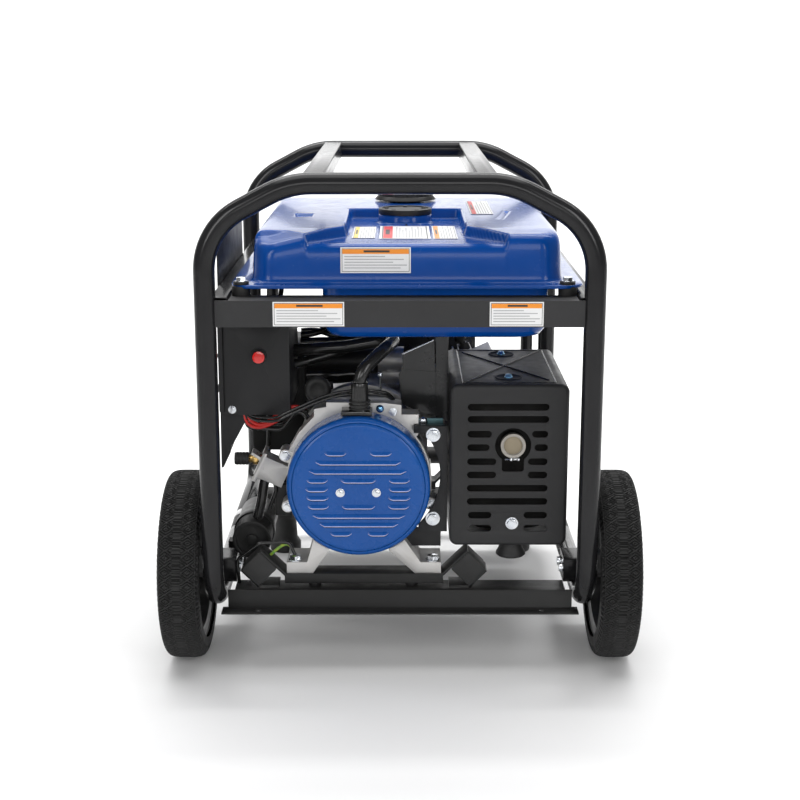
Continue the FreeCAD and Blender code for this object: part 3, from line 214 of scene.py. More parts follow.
def frame_black():
    """Glossy black paint of the frame tubes."""
    return surface("frame_black", (0.01, 0.01, 0.011), (0.014, 0.014, 0.015), (0.16, 0.22),
                   grain=380, depth=0.00001, dust=0.012, specular=0.3)


def bar_grey():
    """Satin dark grey paint of the cross bars."""
    return surface("bar_grey", (0.026, 0.026, 0.027), (0.032, 0.032, 0.033), (0.5, 0.6), grain=900,
                   depth=0.00003, dust=0.015, specular=0.3)


def box_black():
    """Matt black paint of the control box and plates."""
    return surface("box_black", (0.014, 0.014, 0.015), (0.019, 0.019, 0.02), (0.42, 0.52),
                   grain=900, depth=0.00003, dust=0.012, specular=0.28)


def channel_black():
    """Black paint of the base channels."""
    return surface("channel_black", (0.012, 0.012, 0.012), (0.016, 0.016, 0.016), (0.34, 0.44),
                   grain=700, depth=0.00003, dust=0.02, specular=0.28)


def tank_blue():
    """Glossy blue enamel of the tank."""
    return surface("tank_blue", (0.0006, 0.052, 0.27), (0.001, 0.06, 0.3), (0.2, 0.28), coat=0.5,
                   coat_rough=0.09, grain=160, depth=0.00003, specular=0.2, coat_ior=1.28)


def cover_blue():
    """Blue enamel of the alternator cover."""
    return surface("cover_blue", (0.004, 0.07, 0.3), (0.005, 0.08, 0.33), (0.24, 0.32), coat=0.5,
                   coat_rough=0.08, grain=500, depth=0.00002, specular=0.22, coat_ior=1.3)


def lip_painted_highlight():
    """Painted highlight: a pale lilac glint colour along a louvre's lower lip."""
    return surface("lip_painted_highlight", (0.5, 0.5, 0.78), (0.6, 0.6, 0.86), (0.2, 0.3))


def cast_alloy():
    """Rough cast aluminium."""
    return surface("cast_alloy", (0.5, 0.49, 0.475), (0.62, 0.61, 0.6), (0.42, 0.6), metal=0.85,
                   tone_scale=30, grain=1100, depth=0.00018)


def core_steel():
    """Stacked steel sheets of the stator core."""
    return surface("core_steel", (0.16, 0.16, 0.165), (0.24, 0.235, 0.23), (0.4, 0.55), metal=0.9,
                   grain=900, depth=0.0002, stretch=(0.2, 6, 0.2))


def cast_iron():
    """Dark cast iron."""
    return surface("cast_iron", (0.09, 0.09, 0.092), (0.13, 0.125, 0.12), (0.55, 0.7), metal=0.6,
                   grain=900, depth=0.0003)


def shroud_black():
    """Glossy black sheet round the engine."""
    return surface("shroud_black", (0.012, 0.012, 0.013), (0.018, 0.019, 0.02), (0.25, 0.35),
                   coat=0.5, coat_rough=0.1, dust=0.02, specular=0.3)


def guard_black():
    """Satin black paint of the muffler guard."""
    return surface("guard_black", (0.018, 0.018, 0.019), (0.023, 0.023, 0.024), (0.4, 0.5),
                   grain=800, depth=0.00003, dust=0.01, specular=0.3)


def muffler_dark():
    """Sooty steel of the muffler."""
    return surface("muffler_dark", (0.006, 0.006, 0.006), (0.012, 0.011, 0.01), (0.6, 0.8),
                   tone_scale=30, specular=0.2)


def zinc_teal():
    """Greenish zinc of a bracket."""
    return surface("zinc_teal", (0.1, 0.2, 0.23), (0.16, 0.28, 0.3), (0.3, 0.42), metal=0.9,
                   tone_scale=50)


def zinc_bluish():
    """Bluish zinc of some screws."""
    return surface("zinc_bluish", (0.12, 0.36, 0.66), (0.3, 0.55, 0.8), (0.2, 0.34), metal=0.9,
                   tone_scale=90)


def bare_steel():
    """Uncoated steel."""
    return surface("bare_steel", (0.3, 0.28, 0.25), (0.42, 0.4, 0.37), (0.35, 0.55), metal=0.95,
                   tone_scale=20, grain=700, depth=0.0001)


def zinc_plate():
    """Bright zinc of bolts and nuts."""
    return surface("zinc_plate", (0.66, 0.7, 0.76), (0.78, 0.79, 0.8), (0.18, 0.34), metal=1.0,
                   tone_scale=80, grain=1500, depth=0.00005)


def moulded_black():
    """Grained black plastic."""
    return surface("moulded_black", (0.012, 0.012, 0.012), (0.018, 0.018, 0.018), (0.36, 0.5),
                   grain=1700, depth=0.00006, dust=0.02, specular=0.3)


def soft_rubber():
    """Dull rubber of feet, boots and grommets."""
    return surface("soft_rubber", (0.014, 0.014, 0.014), (0.022, 0.022, 0.022), (0.5, 0.68),
                   grain=700, depth=0.00012, dust=0.05, specular=0.4)


def tyre_rubber():
    """Dusty tyre rubber."""
    return surface("tyre_rubber", (0.012, 0.012, 0.012), (0.019, 0.019, 0.019), (0.5, 0.66),
                   grain=500, depth=0.0002, dust=0.04, specular=0.3)


def rim_black():
    """Black paint of the wheel rims."""
    return surface("rim_black", (0.012, 0.012, 0.012), (0.018, 0.018, 0.018), (0.3, 0.42), coat=0.3,
                   coat_rough=0.15)


def cable_black():
    """Shiny black cable sheath."""
    return surface("cable_black", (0.01, 0.01, 0.01), (0.016, 0.016, 0.016), (0.14, 0.26),
                   grain=250, depth=0.00006)


def filter_foam():
    """Dark open foam."""
    return surface("filter_foam", (0.05, 0.05, 0.05), (0.1, 0.1, 0.1), (0.8, 0.95), grain=1500,
                   depth=0.0008)


def button_red():
    """Glossy red plastic."""
    return surface("button_red", (0.7, 0.012, 0.01), (0.8, 0.02, 0.015), (0.2, 0.3), coat=0.6)


def inlet_brass():
    """Brass of the gas inlet."""
    return surface("inlet_brass", (0.62, 0.4, 0.13), (0.72, 0.5, 0.2), (0.22, 0.36), metal=1.0,
                   tone_scale=60, grain=1200)


def lead_red():
    """Red wire sheath."""
    return surface("lead_red", (0.45, 0.01, 0.008), (0.55, 0.015, 0.01), (0.3, 0.42))


def lead_green():
    """Green wire sheath with yellow flecks."""
    return surface("lead_green", (0.02, 0.25, 0.06), (0.35, 0.4, 0.02), (0.35, 0.45),
                   tone_scale=160)


def label_white():
    """Paper of a sticker."""
    return surface("label_white", (0.78, 0.78, 0.78), (0.83, 0.83, 0.83), (0.3, 0.38), grain=300)


def label_orange():
    """Orange band of a sticker."""
    return surface("label_orange", (0.85, 0.27, 0.02), (0.88, 0.3, 0.025), (0.3, 0.38))


def label_grey():
    """Grey rules of a sticker."""
    return surface("label_grey", (0.3, 0.3, 0.31), (0.42, 0.42, 0.43), (0.35, 0.45), tone_scale=900)


def label_yellow():
    """Yellow band of a sticker."""
    return surface("label_yellow", (0.82, 0.6, 0.08), (0.86, 0.65, 0.1), (0.3, 0.38))


def label_red():
    """Red band of a sticker."""
    return surface("label_red", (0.6, 0.03, 0.03), (0.66, 0.04, 0.04), (0.3, 0.38))


def label_black():
    """Black border of a sticker."""
    return surface("label_black", (0.02, 0.02, 0.02), (0.03, 0.03, 0.03), (0.3, 0.4))


def painted_shade_dark():
    """Painted shade: near-black colour for the darkness inside a louvre's opening, the strip of face below
    its lip, and the dishes round the guard's screws.
    """
    return surface("painted_shade_dark", (0.003, 0.005, 0.012), (0.004, 0.006, 0.016), (0.6, 0.7))


def spark_screen():
    """Woven spark screen: tan wires in two directions."""
    mat, tree, shader = new_material("spark_screen")
    coords = tree.nodes.new("ShaderNodeTexCoord")
    heights = []
    for axis in ("X", "Z"):
        wave = tree.nodes.new("ShaderNodeTexWave")
        wave.bands_direction = axis
        wave.inputs["Scale"].default_value = 220
        wave.inputs["Distortion"].default_value = 0.4
        tree.links.new(coords.outputs["Object"], wave.inputs["Vector"])
        heights.append(wave.outputs["Fac"])
    weave = tree.nodes.new("ShaderNodeMath")
    weave.operation = "MAXIMUM"
    tree.links.new(heights[0], weave.inputs[0])
    tree.links.new(heights[1], weave.inputs[1])
    tone = spread(tree, weave.outputs[0], 0, 1, 0.35, 0.9)
    colour = mix_colours(tree, tone, (0.1, 0.08, 0.055), (0.42, 0.36, 0.26))
    tree.links.new(colour, shader.inputs["Base Color"])
    shader.inputs["Metallic"].default_value = 0.6
    shader.inputs["Roughness"].default_value = 0.45
    bump(tree, shader, weave.outputs[0], 0.0003)
    return mat


MAKERS = (frame_black, bar_grey, box_black, channel_black, tank_blue, cover_blue, lip_painted_highlight,
          cast_alloy, core_steel, cast_iron, shroud_black, guard_black, muffler_dark, zinc_teal,
          zinc_bluish, bare_steel, zinc_plate, moulded_black, soft_rubber, tyre_rubber, rim_black,
          cable_black, filter_foam, button_red, inlet_brass, lead_red, lead_green, label_white,
          label_orange, label_grey, label_yellow, label_red, label_black, painted_shade_dark, spark_screen)


# ---- mesh helpers -------------------------------------------------------------------------
def mesh_piece(name, points, faces, materials, body, smooth=True, face_slots=None):
    """A mesh that rides on a body. Points are in metres."""
    mesh = bpy.data.meshes.new(name)
    mesh.from_pydata([tuple(p) for p in points], [], faces)
    for material in materials:
        mesh.materials.append(MATS[material])
    if smooth:
        mesh.polygons.foreach_set("use_smooth", [True] * len(mesh.polygons))
    if face_slots:
        mesh.polygons.foreach_set("material_index", face_slots)
    mesh.update()
    piece = bpy.data.objects.new(name, mesh)
    bpy.context.scene.collection.objects.link(piece)
    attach(piece, body)
    return piece


def grid_faces(rows, columns, wrap_rows=False, wrap_columns=False):
    """Quads of a grid of points, open or closed each way."""
    faces = []
    for i in range(rows if wrap_rows else rows - 1):
        for j in range(columns if wrap_columns else columns - 1):
            a = i * columns + j
            b = i * columns + (j + 1) % columns
            c = (i + 1) % rows * columns + (j + 1) % columns
            d = (i + 1) % rows * columns + j
            faces.append((a, b, c, d))
    return faces


def soften_edges(piece, width):
    """Small rounded edges that catch the light."""
    weld = piece.modifiers.new("weld", "WELD")
    weld.merge_threshold = 0.00001
    bevel = piece.modifiers.new("bevel", "BEVEL")
    bevel.width = width
    bevel.segments = 2
    bevel.limit_method = "ANGLE"
    bevel.angle_limit = math.radians(35)
    bevel.use_clamp_overlap = True
    bevel.harden_normals = True
    piece.data.polygons.foreach_set("use_smooth", [True] * len(piece.data.polygons))


def slab(name, low, high, material, edge=SLAB_EDGE):
    """A block between two corners in millimetres, depths counted from the near hoop."""
    x0, y0, z0 = low[0] * MM, (NEAR + low[1]) * MM, low[2] * MM
    x1, y1, z1 = high[0] * MM, (NEAR + high[1]) * MM, high[2] * MM
    points = [(x0, y0, z0), (x1, y0, z0), (x1, y1, z0), (x0, y1, z0),
              (x0, y0, z1), (x1, y0, z1), (x1, y1, z1), (x0, y1, z1)]
    faces = [(3, 2, 1, 0), (4, 5, 6, 7), (0, 1, 5, 4), (1, 2, 6, 5), (2, 3, 7, 6), (3, 0, 4, 7)]
    piece = mesh_piece(name, points, faces, [material], "frame", smooth=False)
    soften_edges(piece, edge)


def hose(name, route, radius, material):
    """A round hose along given points in millimetres, depths counted from the near hoop."""
    data = bpy.data.curves.new(name, "CURVE")
    data.dimensions = "3D"
    data.bevel_depth = radius * MM
    data.bevel_resolution = 6
    data.use_fill_caps = True
    spline = data.splines.new("NURBS")
    spline.points.add(len(route) - 1)
    for point, (x, y, z) in zip(spline.points, route):
        point.co = (x * MM, (NEAR + y) * MM, z * MM, 1)
    spline.order_u = 3
    spline.use_endpoint_u = True
    spline.resolution_u = 12
    data.materials.append(MATS[material])
    piece = bpy.data.objects.new(name, data)
    bpy.context.scene.collection.objects.link(piece)
    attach(piece, "frame")


def turned(name, profile, centre, axis, count, material, body):
    """A profile of (along, radius) pairs in millimetres turned round an axis through centre."""
    points = []
    for along, radius in profile:
        for j in range(count):
            a = 2 * math.pi * j / count
            u, v = radius * math.cos(a), radius * math.sin(a)
            offset = {"X": (along, u, v), "Y": (v, along, u), "Z": (u, v, along)}[axis]
            points.append([(c + o) * MM for c, o in zip(centre, offset)])
    faces = grid_faces(len(profile), count, wrap_columns=True)
    return mesh_piece(name, points, faces, [material], body)


# ---- carried-over CAD pieces --------------------------------------------------------------
ROUND_NODES = {"near_hoop", "far_hoop", "wiring", "vent_hose"}
LOOKS = {"control_box": "box_black", "control_panel": "box_black", "base_channels": "channel_black",
         "cradle_bars": "channel_black", "muffler": "muffler_dark", "support_plate": "box_black"}


def dress_cad():
    """Give each kept CAD piece its finish and softened edges."""
    slots = {row["node"]: row["material_slot"] for row in frame["record"]["subparts"]}
    for node, piece in NODES.items():
        piece.data.materials.clear()
        piece.data.materials.append(MATS[LOOKS.get(node, slots[node])])
        soften_edges(piece, TUBE_EDGE if node in ROUND_NODES else SHEET_EDGE)


# ---- wheels -------------------------------------------------------------------------------
TREAD_AROUND, TREAD_ACROSS = 21.0, 32.0
CROWN_HALF, SHOULDER_END, LUG_PITCH = 28.0, 39.0, 9.0
CROWN_GROOVE, SHOULDER_GROOVE = 2.4, 3.0
TYRE_BEAD_R, TYRE_SQUARENESS = 110.0, 4.4
TYRE_STEPS, TYRE_AROUND = 84, 720


def tread_depth(around, across):
    """Groove depth in mm: nested lozenges on the crown, a notched shoulder on each side."""
    nearest = np.full_like(around, 9.0)
    for shift in (0, 0.5):
        a = np.abs((around / TREAD_AROUND + shift) % 1 - 0.5) * 2
        c = np.abs((across / TREAD_ACROSS + 0.5 + shift) % 1 - 0.5) * 2
        nearest = np.minimum(nearest, a + c)
    groove = np.clip((0.4 - np.abs((nearest * 2.5) % 1 - 0.5)) * 6, 0, 1)
    off = np.abs(across)
    crown = np.clip((CROWN_HALF - off) / 1.5, 0, 1)
    lug = np.clip((np.abs((around / LUG_PITCH) % 1 - 0.5) - 0.15) * 9, 0, 1)
    shoulder = np.clip(off - CROWN_HALF, 0, 1) * np.clip((SHOULDER_END - off) / 1.5, 0, 1)
    return CROWN_GROOVE * (1 - groove) * crown + SHOULDER_GROOVE * (1 - lug) * shoulder


def tyre(name, body, node):
    """A squarish section turned round the axle, with the tread cut into it."""
    low, high = box_mm(node)
    centre = (low + high) / 2
    half = (high.x - low.x) / 2
    outer = (high.z - low.z) / 2 - 0.1
    phi = np.linspace(0, math.pi, TYRE_STEPS)
    power = 2 / TYRE_SQUARENESS
    x = -half * np.sign(np.cos(phi)) * np.abs(np.cos(phi)) ** power
    r = TYRE_BEAD_R + (outer - TYRE_BEAD_R) * np.abs(np.sin(phi)) ** power
    length = np.concatenate([[0], np.cumsum(np.hypot(np.diff(x), np.diff(r)))])
    across = length - length[-1] / 2
    theta = np.arange(TYRE_AROUND) * 2 * math.pi / TYRE_AROUND
    cross_grid, theta_grid = np.meshgrid(across, theta)
    depth = tread_depth(theta_grid * outer, cross_grid)
    normal_x = np.gradient(r, length)
    normal_r = -np.gradient(x, length)
    size = np.hypot(normal_x, normal_r)
    rs = r[None, :] - depth * np.abs(normal_r / size)[None, :]
    xs = x[None, :] - depth * np.sign(x)[None, :] * np.abs(normal_x / size)[None, :]
    points = np.stack([centre.x + xs, centre.y + rs * np.sin(theta)[:, None],
                       centre.z + rs * np.cos(theta)[:, None]], -1).reshape(-1, 3) * MM
    faces = grid_faces(TYRE_AROUND, TYRE_STEPS, wrap_rows=True)
    piece = mesh_piece(name, points, faces, ["tyre_rubber"], body, smooth=False)
    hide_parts(node)


# ---- tank ---------------------------------------------------------------------------------
TANK_FLANGE = 570.0
TANK_FLAT = 643.0
POCKET_FLOOR = 627.0
POCKET_NEAR, POCKET_WAIST, POCKET_FAR = 62, 130, 360
POCKET_CORNER = 9
TANK_HALF_X = 219.0
TANK_CORNER = 34.0
SEAM_ROOM = 20
GAUGE_BOSS = (8.0, 317.0, 41.8, 640.4)
PAN_X, PAN_Y = (-112.0, 213.0), (75.0, 570.0)
TOP_STEPS, PAN_STEPS = (150, 190, 12), (30, 40, 10)
SEAM = [(18, -1.8), (27.6, -1.8), (27.9, -1), (27.9, 1.4), (27, 2.3), (12, 2.4), (5, 3.0), (1.8, 4.6),
        (0.5, 7)]
WALL = [(0, 0.0), (0.6, 0.1), (1.1, 0.3), (1.6, 0.5), (2.2, 0.66), (3.2, 0.79), (4.8, 0.88), (7.0, 0.94),
        (10, 0.975), (13.5, 0.993), (17, 1.0)]
PAN_WALL = [(-2, -1.9), (-1, -5), (0, -12), (1.5, -60), (4, -72), (10, -80.4), (20, -83.6), (40, -83.8)]


def smooth(t):
    """Ease from 0 to 1 without a corner."""
    t = np.clip(t, 0, 1)
    return t * t * (3 - 2 * t)


def pocket_depth(x, y):
    """0 outside the sunken pocket, 1 on its floor. It widens towards the near edge."""
    left = np.interp(y, [POCKET_NEAR, POCKET_WAIST], [-132, -79])
    right = np.interp(y, [POCKET_NEAR, POCKET_WAIST], [149, 95])
    from_far = POCKET_CORNER - (POCKET_FAR - y)
    outside = np.maximum(np.maximum(left - x, x - right), y - POCKET_FAR)
    corner = np.minimum(np.minimum(x - left, right - x), POCKET_FAR - y)
    both = np.hypot(np.clip(POCKET_CORNER - (x - left), 0, None), np.clip(from_far, 0, None))
    other = np.hypot(np.clip(POCKET_CORNER - (right - x), 0, None), np.clip(from_far, 0, None))
    rounded = np.maximum(outside, np.maximum(both, other) - POCKET_CORNER)
    return smooth(0.5 - np.where(corner > POCKET_CORNER, -corner, rounded) / 4.5)


def tank_height(x, y):
    """Top of the tank in mm, y counted from the near hoop."""
    flat = TANK_FLAT - 3 * (1 - smooth((y - 48) / 60)) - 9 * smooth((y - 520) / 90)
    bevel = 608 + 0.326 * y + 12 * np.clip((x + 185) / 54, 0, 1)
    bevel = np.where(y > 84, bevel + (y - 84) * 2.2, bevel)
    flat = np.where(x < -118, np.minimum(flat, bevel + np.clip(x + 136, 0, None) * 1.6), flat)
    dimple = smooth((24 - np.maximum(np.abs(x + 148) * 1.6, np.abs(y - 268))) / 8)
    fold = smooth((5 - np.abs(x - 150 - (y - 215) * 0.16)) / 4) * smooth((60 - np.abs(y - 270)) / 12)
    flat = flat - 5 * dimple - 4 * fold
    inside = pocket_depth(x, y)
    return flat * (1 - inside) + POCKET_FLOOR * inside


def rounded_loop(half_x, half_y, radius, x_steps, y_steps, corner_steps):
    """Points round a rounded rectangle, the same count whatever its size."""
    signs = ((1, 1), (-1, 1), (-1, -1), (1, -1))
    points = []
    for quarter, (sx, sy) in enumerate(signs):
        corner = ((half_x - radius) * sx, (half_y - radius) * sy)
        for i in range(corner_steps):
            a = math.pi / 2 * (quarter + i / corner_steps)
            points.append((corner[0] + radius * math.cos(a), corner[1] + radius * math.sin(a)))
        a = math.pi / 2 * (quarter + 1)
        across, along = radius * math.cos(a), radius * math.sin(a)
        nx, ny = signs[(quarter + 1) % 4]
        start = (corner[0] + across, corner[1] + along)
        end = ((half_x - radius) * nx + across, (half_y - radius) * ny + along)
        steps = x_steps if quarter % 2 == 0 else y_steps
        for i in range(steps):
            points.append(tuple(s + (e - s) * i / steps for s, e in zip(start, end)))
    return np.array(points)


def stack_rings(rings, centre, flip=False):
    """Points and faces of a skin through rings of equal count, closed at the last one."""
    count = len(rings[0])
    points = np.concatenate(rings)
    points[:, 0] += centre[0]
    points[:, 1] += centre[1]
    faces = grid_faces(len(rings), count, wrap_columns=True)
    last = (len(rings) - 1) * count
    faces.append(tuple(last + i for i in range(count)))
    if flip:
        faces = [face[::-1] for face in faces]
    return points * MM, faces


def tank_top():
    """Upper pressing: seam, wall and the shaped top with its sunken pocket."""
    low, high = box_mm("fuel_tank")
    centre = ((low.x + high.x) / 2, (low.y + high.y) / 2)
    half_x, half_y = TANK_HALF_X, (high.y - low.y) / 2 - SEAM_ROOM
    rings = []
    for out, rise in SEAM:
        loop = rounded_loop(half_x + out, half_y + min(out, SEAM_ROOM - 0.1), TANK_CORNER, *TOP_STEPS)
        rings.append(np.column_stack([loop, np.full(len(loop), TANK_FLANGE + rise)]))
    wall_insets, wall_shares = zip(*WALL)
    base = TANK_FLANGE + 9
    for inset in list(wall_insets) + list(np.arange(19.5, half_x - 1, 2.4)):
        corner = max(TANK_CORNER - inset * 0.4, 4)
        loop = rounded_loop(half_x - inset, half_y - inset, corner, *TOP_STEPS)
        share = np.interp(inset, wall_insets, wall_shares)
        top = tank_height(loop[:, 0] + centre[0], loop[:, 1] + centre[1] - NEAR)
        rings.append(np.column_stack([loop, base + (top - base) * share]))
    points, faces = stack_rings(rings, centre)
    piece = mesh_piece("tank_top", points, faces, ["tank_blue"], "frame")
    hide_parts("fuel_tank")


def gauge_boss():
    """Raised round seat of the fuel gauge on the pocket's floor."""
    x, y, radius, top = GAUGE_BOSS
    rise = top - POCKET_FLOOR
    profile = [(0, radius + 5), (0.6, radius + 2.2), (2.2, radius + 0.6), (4, radius), (rise - 3, radius),
               (rise - 1, radius - 0.8), (rise, radius - 2.6), (rise, 20)]
    turned("gauge_boss", profile, (x, NEAR + y, POCKET_FLOOR), "Z", 96, "tank_blue", "frame")


def tank_pan():
    """Lower pressing that hangs between the shelf bars."""
    half_x, half_y = (PAN_X[1] - PAN_X[0]) / 2, (PAN_Y[1] - PAN_Y[0]) / 2
    rings = []
    for inset, rise in PAN_WALL:
        loop = rounded_loop(half_x - inset, half_y - inset, 30, *PAN_STEPS)
        rings.append(np.column_stack([loop, np.full(len(loop), TANK_FLANGE + rise)]))
    points, faces = stack_rings(rings, (sum(PAN_X) / 2, NEAR + sum(PAN_Y) / 2), flip=True)
    mesh_piece("tank_pan", points, faces, ["tank_blue"], "frame")


# ---- alternator cover ---------------------------------------------------------------------
LOUVRES = (
    (52, ((-48, -17), (17, 48))),
    (38.5, ((-61, 61),)),
    (25, ((-70, 69),)),
    (11.5, ((-74, -44), (-25, 25), (44, 74))),
    (-1.5, ((-76, -44), (44, 76))),
    (-14.5, ((-75, -43), (43, 75))),
    (-27.5, ((-73, -43), (-24, 24), (43, 73))),
    (-41.5, ((-66, 67),)),
    (-54.5, ((-56, 57),)),
    (-68.5, ((-41, -10), (13, 43))),
)


# The third value, 2 mm, is the height of the painted shade strip below each louvre's lip.
LOUVRE_HEIGHT, LOUVRE_OUT, LOUVRE_SHADE_STRIP, LOUVRE_END = 6.0, 3.2, 2.0, 8.0


def louvre(name, centre, face_y, x0, x1, z):
    """A pressed scoop that swells towards its lower lip. Its lowest row of faces takes a painted highlight,
    and painted shade fills the opening beneath and a strip of the cover's face below the lip.
    """
    length = x1 - x0
    skin_y = (face_y - 0.12) * MM
    across, down = 18, 7
    points = []
    lip = []
    for i in range(down):
        t = i / (down - 1)
        bulge = math.sin(t * math.pi / 2)
        for j in range(across):
            s = j / (across - 1)
            end = math.sin(min(1.0, min(s, 1 - s) * length / LOUVRE_END) * math.pi / 2) ** 0.7
            x = centre[0] + x0 + length * s
            y = face_y - LOUVRE_OUT * bulge * end
            height = centre[1] + z + LOUVRE_HEIGHT / 2 - LOUVRE_HEIGHT * t * (0.5 + 0.5 * end)
            points.append((x * MM, y * MM, height * MM))
            if i == down - 1:
                lip.append((points[-1], end))
    faces = [f[::-1] for f in grid_faces(down, across)]
    # Slot 2, the lip row, is painted highlight; slot 1 is painted shade.
    slots = [2 if i // (across - 1) == down - 2 else 0 for i in range(len(faces))]
    start = len(points)
    for (x, _, z_lip), end in lip:
        points.append((x, skin_y, z_lip))
    for (x, _, z_lip), end in lip:
        points.append((x, skin_y, z_lip - LOUVRE_SHADE_STRIP * end * MM))
    # Painted shade: near-black faces close the opening under the lip and run a short way down the cover's
    # face below it.
    top_row = (down - 1) * across
    for j in range(across - 1):
        faces.append((top_row + j, start + j, start + j + 1, top_row + j + 1))
        slots.append(1)
        faces.append((start + j, start + across + j, start + across + j + 1, start + j + 1))
        slots.append(1)
    mesh_piece(name, points, faces, ["cover_blue", "painted_shade_dark", "lip_painted_highlight"], "frame",
               face_slots=slots)


def alternator_cover():
    """Deep round cover with a groove near its rim and rows of louvres."""
    low, high = box_mm("alternator_cover")
    centre = ((low.x + high.x) / 2, (low.z + high.z) / 2)
    y0, y1 = low.y, high.y
    radius = (high.x - low.x) / 2
    profile = [(y0, 0.01), (y0, 60), (y0, 91), (y0 + 0.3, 93), (y0 + 1.6, 95.2), (y0 + 2.2, 96.6)]
    for i in range(9):
        a = math.pi / 2 * i / 8
        profile.append((y0 + 10.2 - 8 * math.cos(a), radius - 8 + 8 * math.sin(a) * 0.999))
    profile += [(y1 - 4, radius - 0.05), (y1 - 0.5, radius - 0.05), (y1, radius - 0.6), (y1, radius - 3)]
    piece = turned("cover_shell", [(a - y0, r) for a, r in profile], (centre[0], y0, centre[1]), "Y", 160,
                   "cover_blue", "frame")
    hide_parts("alternator_cover")
    for row, (z, spans) in enumerate(LOUVRES):
        for column, (x0, x1) in enumerate(spans):
            louvre(f"louvre_{row}_{column}", centre, y0, x0, x1, z)


# ---- labels -------------------------------------------------------------------------------
RULE_CUTS = (0.1, 0.0, 0.22, 0.05, 0.35, 0.12, 0.3)


def label(name, corner, right, up, width, height, header="label_orange", rules=5):
    """A blank sticker: border, coloured band and plain rules, with no lettering."""
    corner, right, up = Vector(corner), Vector(right).normalized(), Vector(up).normalized()
    out = right.cross(up)
    points, faces, slots = [], [], []

    def patch(x0, x1, y0, y1, lift, slot):
        start = len(points)
        for x, y in ((x0, y0), (x1, y0), (x1, y1), (x0, y1)):
            points.append((corner + right * x + up * y + out * lift) * MM)
        faces.append((start, start + 1, start + 2, start + 3))
        slots.append(slot)

    patch(0, width, 0, height, 0.25, 0)
    edge, line = 0.05 * height, 0.07 * height
    for x0, x1, y0, y1 in ((edge, width - edge, edge, line),
                           (edge, width - edge, height - line, height - edge),
                           (edge, line, edge, height - edge),
                           (width - line, width - edge, edge, height - edge)):
        patch(x0, x1, y0, y1, 0.32, 3)
    patch(edge * 1.5, width - edge * 1.5, height * 0.74, height - edge * 1.5, 0.36, 1)
    patch(width * 0.33, width * 0.7, height * 0.8, height * 0.88, 0.42, 3)
    x0, x1, y0, y1 = edge * 3, width - edge * 3, edge * 2.5, height * 0.68
    pitch = (y1 - y0) / rules
    for i in range(rules):
        y = y0 + pitch * (i + 0.5)
        end = x1 - (x1 - x0) * RULE_CUTS[i % len(RULE_CUTS)]
        patch(x0, end, y, y + pitch * 0.3, 0.34, 2)
    mesh_piece(name, points, faces, ["label_white", header, "label_grey", "label_black"], "frame",
               smooth=False, face_slots=slots)


def labels():
    """Blank stickers on the near bar, the tank's wall, its pocket and its top."""
    bar_y = box_mm("cross_bars")[0].y
    label("bar_label_left", (-174.5, bar_y, 521.5), (1, 0, 0), (0, 0, 1), 98, 34)
    label("bar_label_right", (123, bar_y, 521.5), (1, 0, 0), (0, 0, 1), 74, 34)
    label("tank_label", (-83, NEAR + 45, 587.5), (1, 0, 0), (0, 0.03, 1), 98, 36)
    floor = POCKET_FLOOR + 0.3
    label("pocket_label_left", (-36, NEAR + 113, floor), (0, 1, 0), (-1, 0, 0), 134, 33, "label_yellow")
    label("pocket_label_middle", (44, NEAR + 106, floor), (0, 1, 0), (-1, 0, 0), 150, 74, "label_red", 9)
    label("pocket_label_right", (83, NEAR + 106, floor), (0, 1, 0), (-1, 0, 0), 150, 35)
    label("top_label", (144, NEAR + 275, TANK_FLAT + 0.4), (0, 1, 0), (-1, 0, 0), 190, 35, "label_red")


# ---- small parts round the alternator -----------------------------------------------------
def flat_plate(name, outline, y0, y1, material):
    """A plate that faces the camera: an X and Z outline between two depths behind the near hoop."""
    count = len(outline)
    points = [(x * MM, (NEAR + y) * MM, z * MM) for y in (y0, y1) for x, z in outline]
    faces = [tuple(range(count)), tuple(range(2 * count - 1, count - 1, -1))]
    for i in range(count):
        j = (i + 1) % count
        faces.append((j, i, count + i, count + j))
    piece = mesh_piece(name, points, faces, [material], "frame", smooth=False)
    soften_edges(piece, PLATE_EDGE)


def screw(name, x, y, z, radius, material="zinc_plate"):
    """A round-headed screw that faces the camera."""
    washer = radius * 1.25
    profile = [(0, washer), (-radius * 0.2, washer), (-radius * 0.25, radius), (-radius * 0.6, radius * 0.95),
               (-radius * 0.8, radius * 0.6), (-radius * 0.85, 0.01)]
    turned(name, profile, (x, NEAR + y, z), "Y", 24, material, "frame")


def boot_ribs():
    """Soft ribs up the output boot."""
    profile = [(0, 12.5), (0.5, 15.2), (1.6, 16), (2.7, 15.2), (3.2, 12.5)]
    lowest, pitch = 383, 5.2
    for i in range(4):
        place = (-58, NEAR + 61, lowest + pitch * i)
        turned(f"boot_rib_{i}", profile, place, "Z", 40, "soft_rubber", "frame")


def bell_cables():
    """Two thin cables laid over the end bell."""
    for i, (lift, radius) in enumerate(((0, 2.4), (5, 2.0))):
        route = [(-230, 118, 372), (-221, 108, 360 + lift), (-195, 90, 362 + lift), (-179, 76, 366 + lift),
                 (-161, 74, 376 + lift), (-143, 74, 384 + lift), (-122, 74, 394 + lift),
                 (-99, 76, 402 + lift), (-74, 78, 406 + lift), (-45, 80, 406 + lift),
                 (-29, 88, 403 + lift), (-14, 96, 397 + lift), (-6, 118, 384)]
        hose(f"bell_cable_{i}", route, radius, "cable_black")


